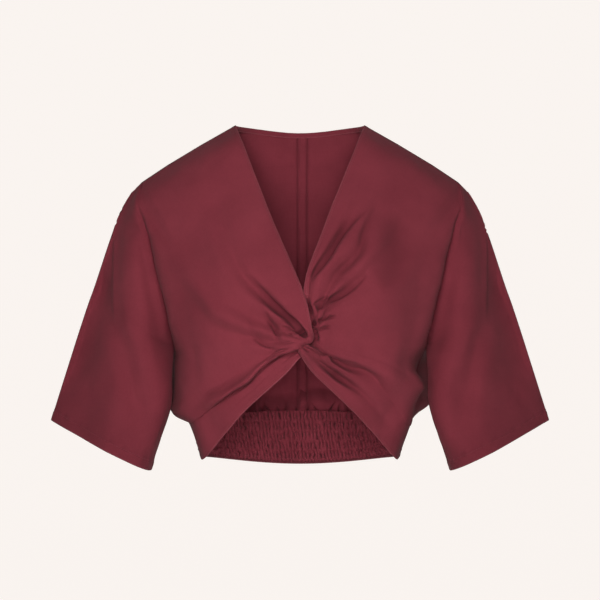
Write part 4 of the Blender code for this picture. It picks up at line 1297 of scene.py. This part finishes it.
# How much the cloud, the slubs and the speckle each add to the fading, and where it starts.
CLOUD_SHARE = 1.00
SLUB_SHARE = 0.50
SPECKLE_SHARE = 0.32
FADE_START = -0.38
# How much painted shade a full fold mixes into the colour, and how clearly the thread shows.
FOLD_SHADE_STRENGTH = 0.88
THREAD_SHOWN = 0.7
# Depth and strength of the weave's bumps and of the stitches'.
WEAVE_BUMP = (0.0002, 0.5)
STITCH_BUMP = (0.0005, 0.8)
SLUB_BUMP = 1.2


def mix(tree, share, first, second):
    """A mix of two colours."""
    node = tree.nodes.new("ShaderNodeMix")
    node.data_type = "RGBA"
    return fill(tree, node, {0: share, 6: first, 7: second}).outputs[2]


def placed(tree, group, inputs):
    """A group in a material, with its own values."""
    node = tree.nodes.new("ShaderNodeGroup")
    node.node_tree = group
    return fill(tree, node, inputs).outputs


def uv(tree, name):
    node = tree.nodes.new("ShaderNodeUVMap")
    node.uv_map = name
    return node.outputs["UV"]


def bump(tree, height, distance, strength, normal=None):
    values = {"Strength": strength, "Distance": distance, "Height": height, "Normal": normal}
    return add_node(tree, "Bump", values).outputs["Normal"]


def cotton(name, stitch_at, stitch_pitch=STITCH_PITCH, worn_reach=WORN_REACH):
    """Washed cotton with a stitched line at this distance from its hem."""
    material = bpy.data.materials.new(name)
    material.use_nodes = True
    tree = material.node_tree
    hem_map = uv(tree, "edge")
    wash = placed(tree, WASH, {"Vector": add_node(tree, "TexCoord", {}).outputs["Object"]})
    weave = placed(tree, WEAVE, {"Vector": uv(tree, "cloth")})
    sewn = {"Vector": hem_map, "Distance": stitch_at, "Pitch": stitch_pitch}
    stitches = placed(tree, STITCHES, sewn)
    worn = placed(tree, WORN, {"Vector": hem_map, "Reach": worn_reach})
    fade = math_node(tree, "MULTIPLY_ADD", wash["Cloud"], CLOUD_SHARE, FADE_START)
    fade = math_node(tree, "MULTIPLY_ADD", weave["Slub"], SLUB_SHARE, fade)
    fade = math_node(tree, "MULTIPLY_ADD", wash["Speckle"], SPECKLE_SHARE, fade)
    colour = mix(tree, fade, DEEP, FADED)
    # Painted shade: the fold attribute darkens the colour in creases, tucks, hem puckers and smocked
    # hollows.
    fold_shade_attribute = add_node(tree, "Attribute", {})
    fold_shade_attribute.attribute_name = "fold"
    fold_shade_share = math_node(tree, "MULTIPLY", fold_shade_attribute.outputs["Fac"], FOLD_SHADE_STRENGTH)
    colour = mix(tree, fold_shade_share, colour, CREASE_SHADE_COLOUR)
    colour = mix(tree, worn["Worn"], colour, WORN_COLOUR)
    thread = math_node(tree, "MULTIPLY", stitches["Thread"], THREAD_SHOWN)
    colour = mix(tree, thread, colour, THREAD_COLOUR)
    woven = math_node(tree, "MULTIPLY_ADD", weave["Slub"], SLUB_BUMP, weave["Height"])
    raised = math_node(tree, "SUBTRACT", stitches["Thread"], stitches["Groove"])
    normal = bump(tree, woven, *WEAVE_BUMP)
    fill(tree, tree.nodes["Principled BSDF"], {
        "Base Color": colour,
        "Roughness": 0.92,
        "Specular IOR Level": 0.12,
        "Sheen Weight": 0.02,
        "Sheen Roughness": 0.6,
        "Normal": bump(tree, raised, *STITCH_BUMP, normal),
    })
    return material


panel_cotton = cotton("panel_cotton", stitch_at=NECK_HEM[0] - STITCH_INSET)
sleeve_cotton = cotton("sleeve_cotton", stitch_at=SLEEVE_HEM[0] - STITCH_INSET)
smocked_cotton = cotton("smocked_cotton", stitch_at=0.0070)
binding_cotton = cotton("binding_cotton", stitch_at=0.0010, stitch_pitch=0.0028)
overlocked_cotton = cotton("overlocked_cotton", stitch_at=0.0, worn_reach=0.0002)
print("cottons:", [material.name for material in bpy.data.materials if "cotton" in material.name])

# %% [markdown]
# ## Put the pieces on the frame
# Every piece rides on the one body and stands for the solids that it covers.

# %% Ride and replace
# Piece, its materials, the solid that it stands for, cut width and length, area of the cut (None where
# it is the whole rectangle), and how it is held.
PANEL = (panel_cotton, sleeve_cotton)
PIECES = (
    (front_left, PANEL, "front_left", (0.36, 0.56), 0.142, "gathered"),
    (front_right, PANEL, "front_right", (0.36, 0.56), 0.142, "gathered"),
    (back_left, PANEL, "back_left", (0.36, 0.50), 0.146, "gathered"),
    (back_right, PANEL, "back_right", (0.36, 0.50), 0.146, "gathered"),
    (waistband, (smocked_cotton,), "back_waistband", (0.65, 0.075), None, "gathered"),
    (binding, (binding_cotton,), "neck_binding", (0.21, 0.0140), 0.0018, "folded"),
    (allowance, (overlocked_cotton,), "", (0.42, 0.0105), 0.0039, "laid"),
)
for piece, materials, node, flat, cut, held in PIECES:
    for material in materials:
        piece.data.materials.append(material)
    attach(piece, "root")
    if node:
        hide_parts(node)
    print("placed", piece.name)

# %% [markdown]
# ## The studio
# A sweep of pale cloth-white paper curves up from a round floor on all sides, so that no horizon shows
# from any angle. One tall soft light stands in front, level with the garment, a small low one reaches
# in under the twist, one lights the back and a wide one hangs above it. Pale surroundings fill the
# shadows. The paper glows evenly, but no light from it falls on the garment.

# %% Backdrop
BACKDROP_COLOUR = (0.956, 0.905, 0.871, 1.0)
PAPER_COLOUR = (0.20, 0.19, 0.18, 1.0)
PAPER_GLOW = 0.968
FLOOR_Z = -1.10
FLOOR_RADIUS = 5.0
SWEEP_RADIUS = 1.0
WALL_HEIGHT = 4.0

sweep = bmesh.new()
made = bmesh.ops.create_grid(sweep, x_segments=64, y_segments=30, size=1.0)
bend_run = SWEEP_RADIUS * math.pi / 2
for vert in made["verts"]:
    way = (vert.co.y + 1) / 2 * (FLOOR_RADIUS + bend_run + WALL_HEIGHT)
    around = vert.co.x * math.pi
    turn = min(max(way - FLOOR_RADIUS, 0) / SWEEP_RADIUS, math.pi / 2)
    reach = min(way, FLOOR_RADIUS) + SWEEP_RADIUS * math.sin(turn)
    rise = max(way - FLOOR_RADIUS - bend_run, 0)
    height = FLOOR_Z + SWEEP_RADIUS * (1 - math.cos(turn)) + rise
    vert.co = (reach * math.sin(around), reach * math.cos(around), height)
bmesh.ops.remove_doubles(sweep, verts=sweep.verts, dist=1e-4)
bmesh.ops.recalc_face_normals(sweep, faces=sweep.faces)
backdrop = add_object("paper_sweep", finished_mesh(sweep, "paper_sweep"))
paper = bpy.data.materials.new("pale_paper")
paper.use_nodes = True
fill(paper.node_tree, paper.node_tree.nodes["Principled BSDF"], {
    "Base Color": PAPER_COLOUR,
    "Roughness": 1.0,
    "Specular IOR Level": 0.0,
    "Emission Color": BACKDROP_COLOUR,
    "Emission Strength": PAPER_GLOW,
})
backdrop.data.materials.append(paper)
backdrop.visible_diffuse = False

# %% Lights
WARM = (1.0, 0.985, 0.965)
PALE = (1.0, 0.99, 0.98)
ROOM_COLOUR = (1.0, 0.985, 0.97, 1.0)
ROOM_STRENGTH = 0.12
# Name, place, aimed at, width, height, spread, power, colour.
LIGHTS = (
    ("key", (-0.05, -1.45, -0.08), (-0.01, 0.0, -0.14), 0.55, 0.85, 1.2, 3.1, WARM),
    ("low", (-0.04, -1.2, -0.8), (0.0, 0.1, -0.35), 0.36, 0.36, 0.6, 0.16, WARM),
    ("back", (0.1, 1.45, 0.1), (0.0, 0.0, -0.2), 0.8, 0.8, 1.3, 2.6, PALE),
    ("top", (0.0, 0.5, 1.5), (0.0, 0.0, -0.1), 1.2, 1.2, 3.1, 3.0, PALE),
)
for name, place, aim, width, height, spread, power, colour in LIGHTS:
    light_data = bpy.data.lights.new(name + "_light", "AREA")
    light_data.shape = "RECTANGLE"
    light_data.size = width
    light_data.size_y = height
    light_data.spread = spread
    light_data.energy = power
    light_data.color = colour
    light = add_object(name + "_light", light_data)
    light.location = place
    light.rotation_euler = (Vector(aim) - Vector(place)).to_track_quat("-Z", "Y").to_euler()
world = bpy.data.worlds.new("pale_room")
world.use_nodes = True
surroundings = {"Color": ROOM_COLOUR, "Strength": ROOM_STRENGTH}
fill(world.node_tree, world.node_tree.nodes["Background"], surroundings)
bpy.context.scene.world = world
bpy.context.scene.view_settings.view_transform = "Standard"
print("lights:", [row[0] for row in LIGHTS])
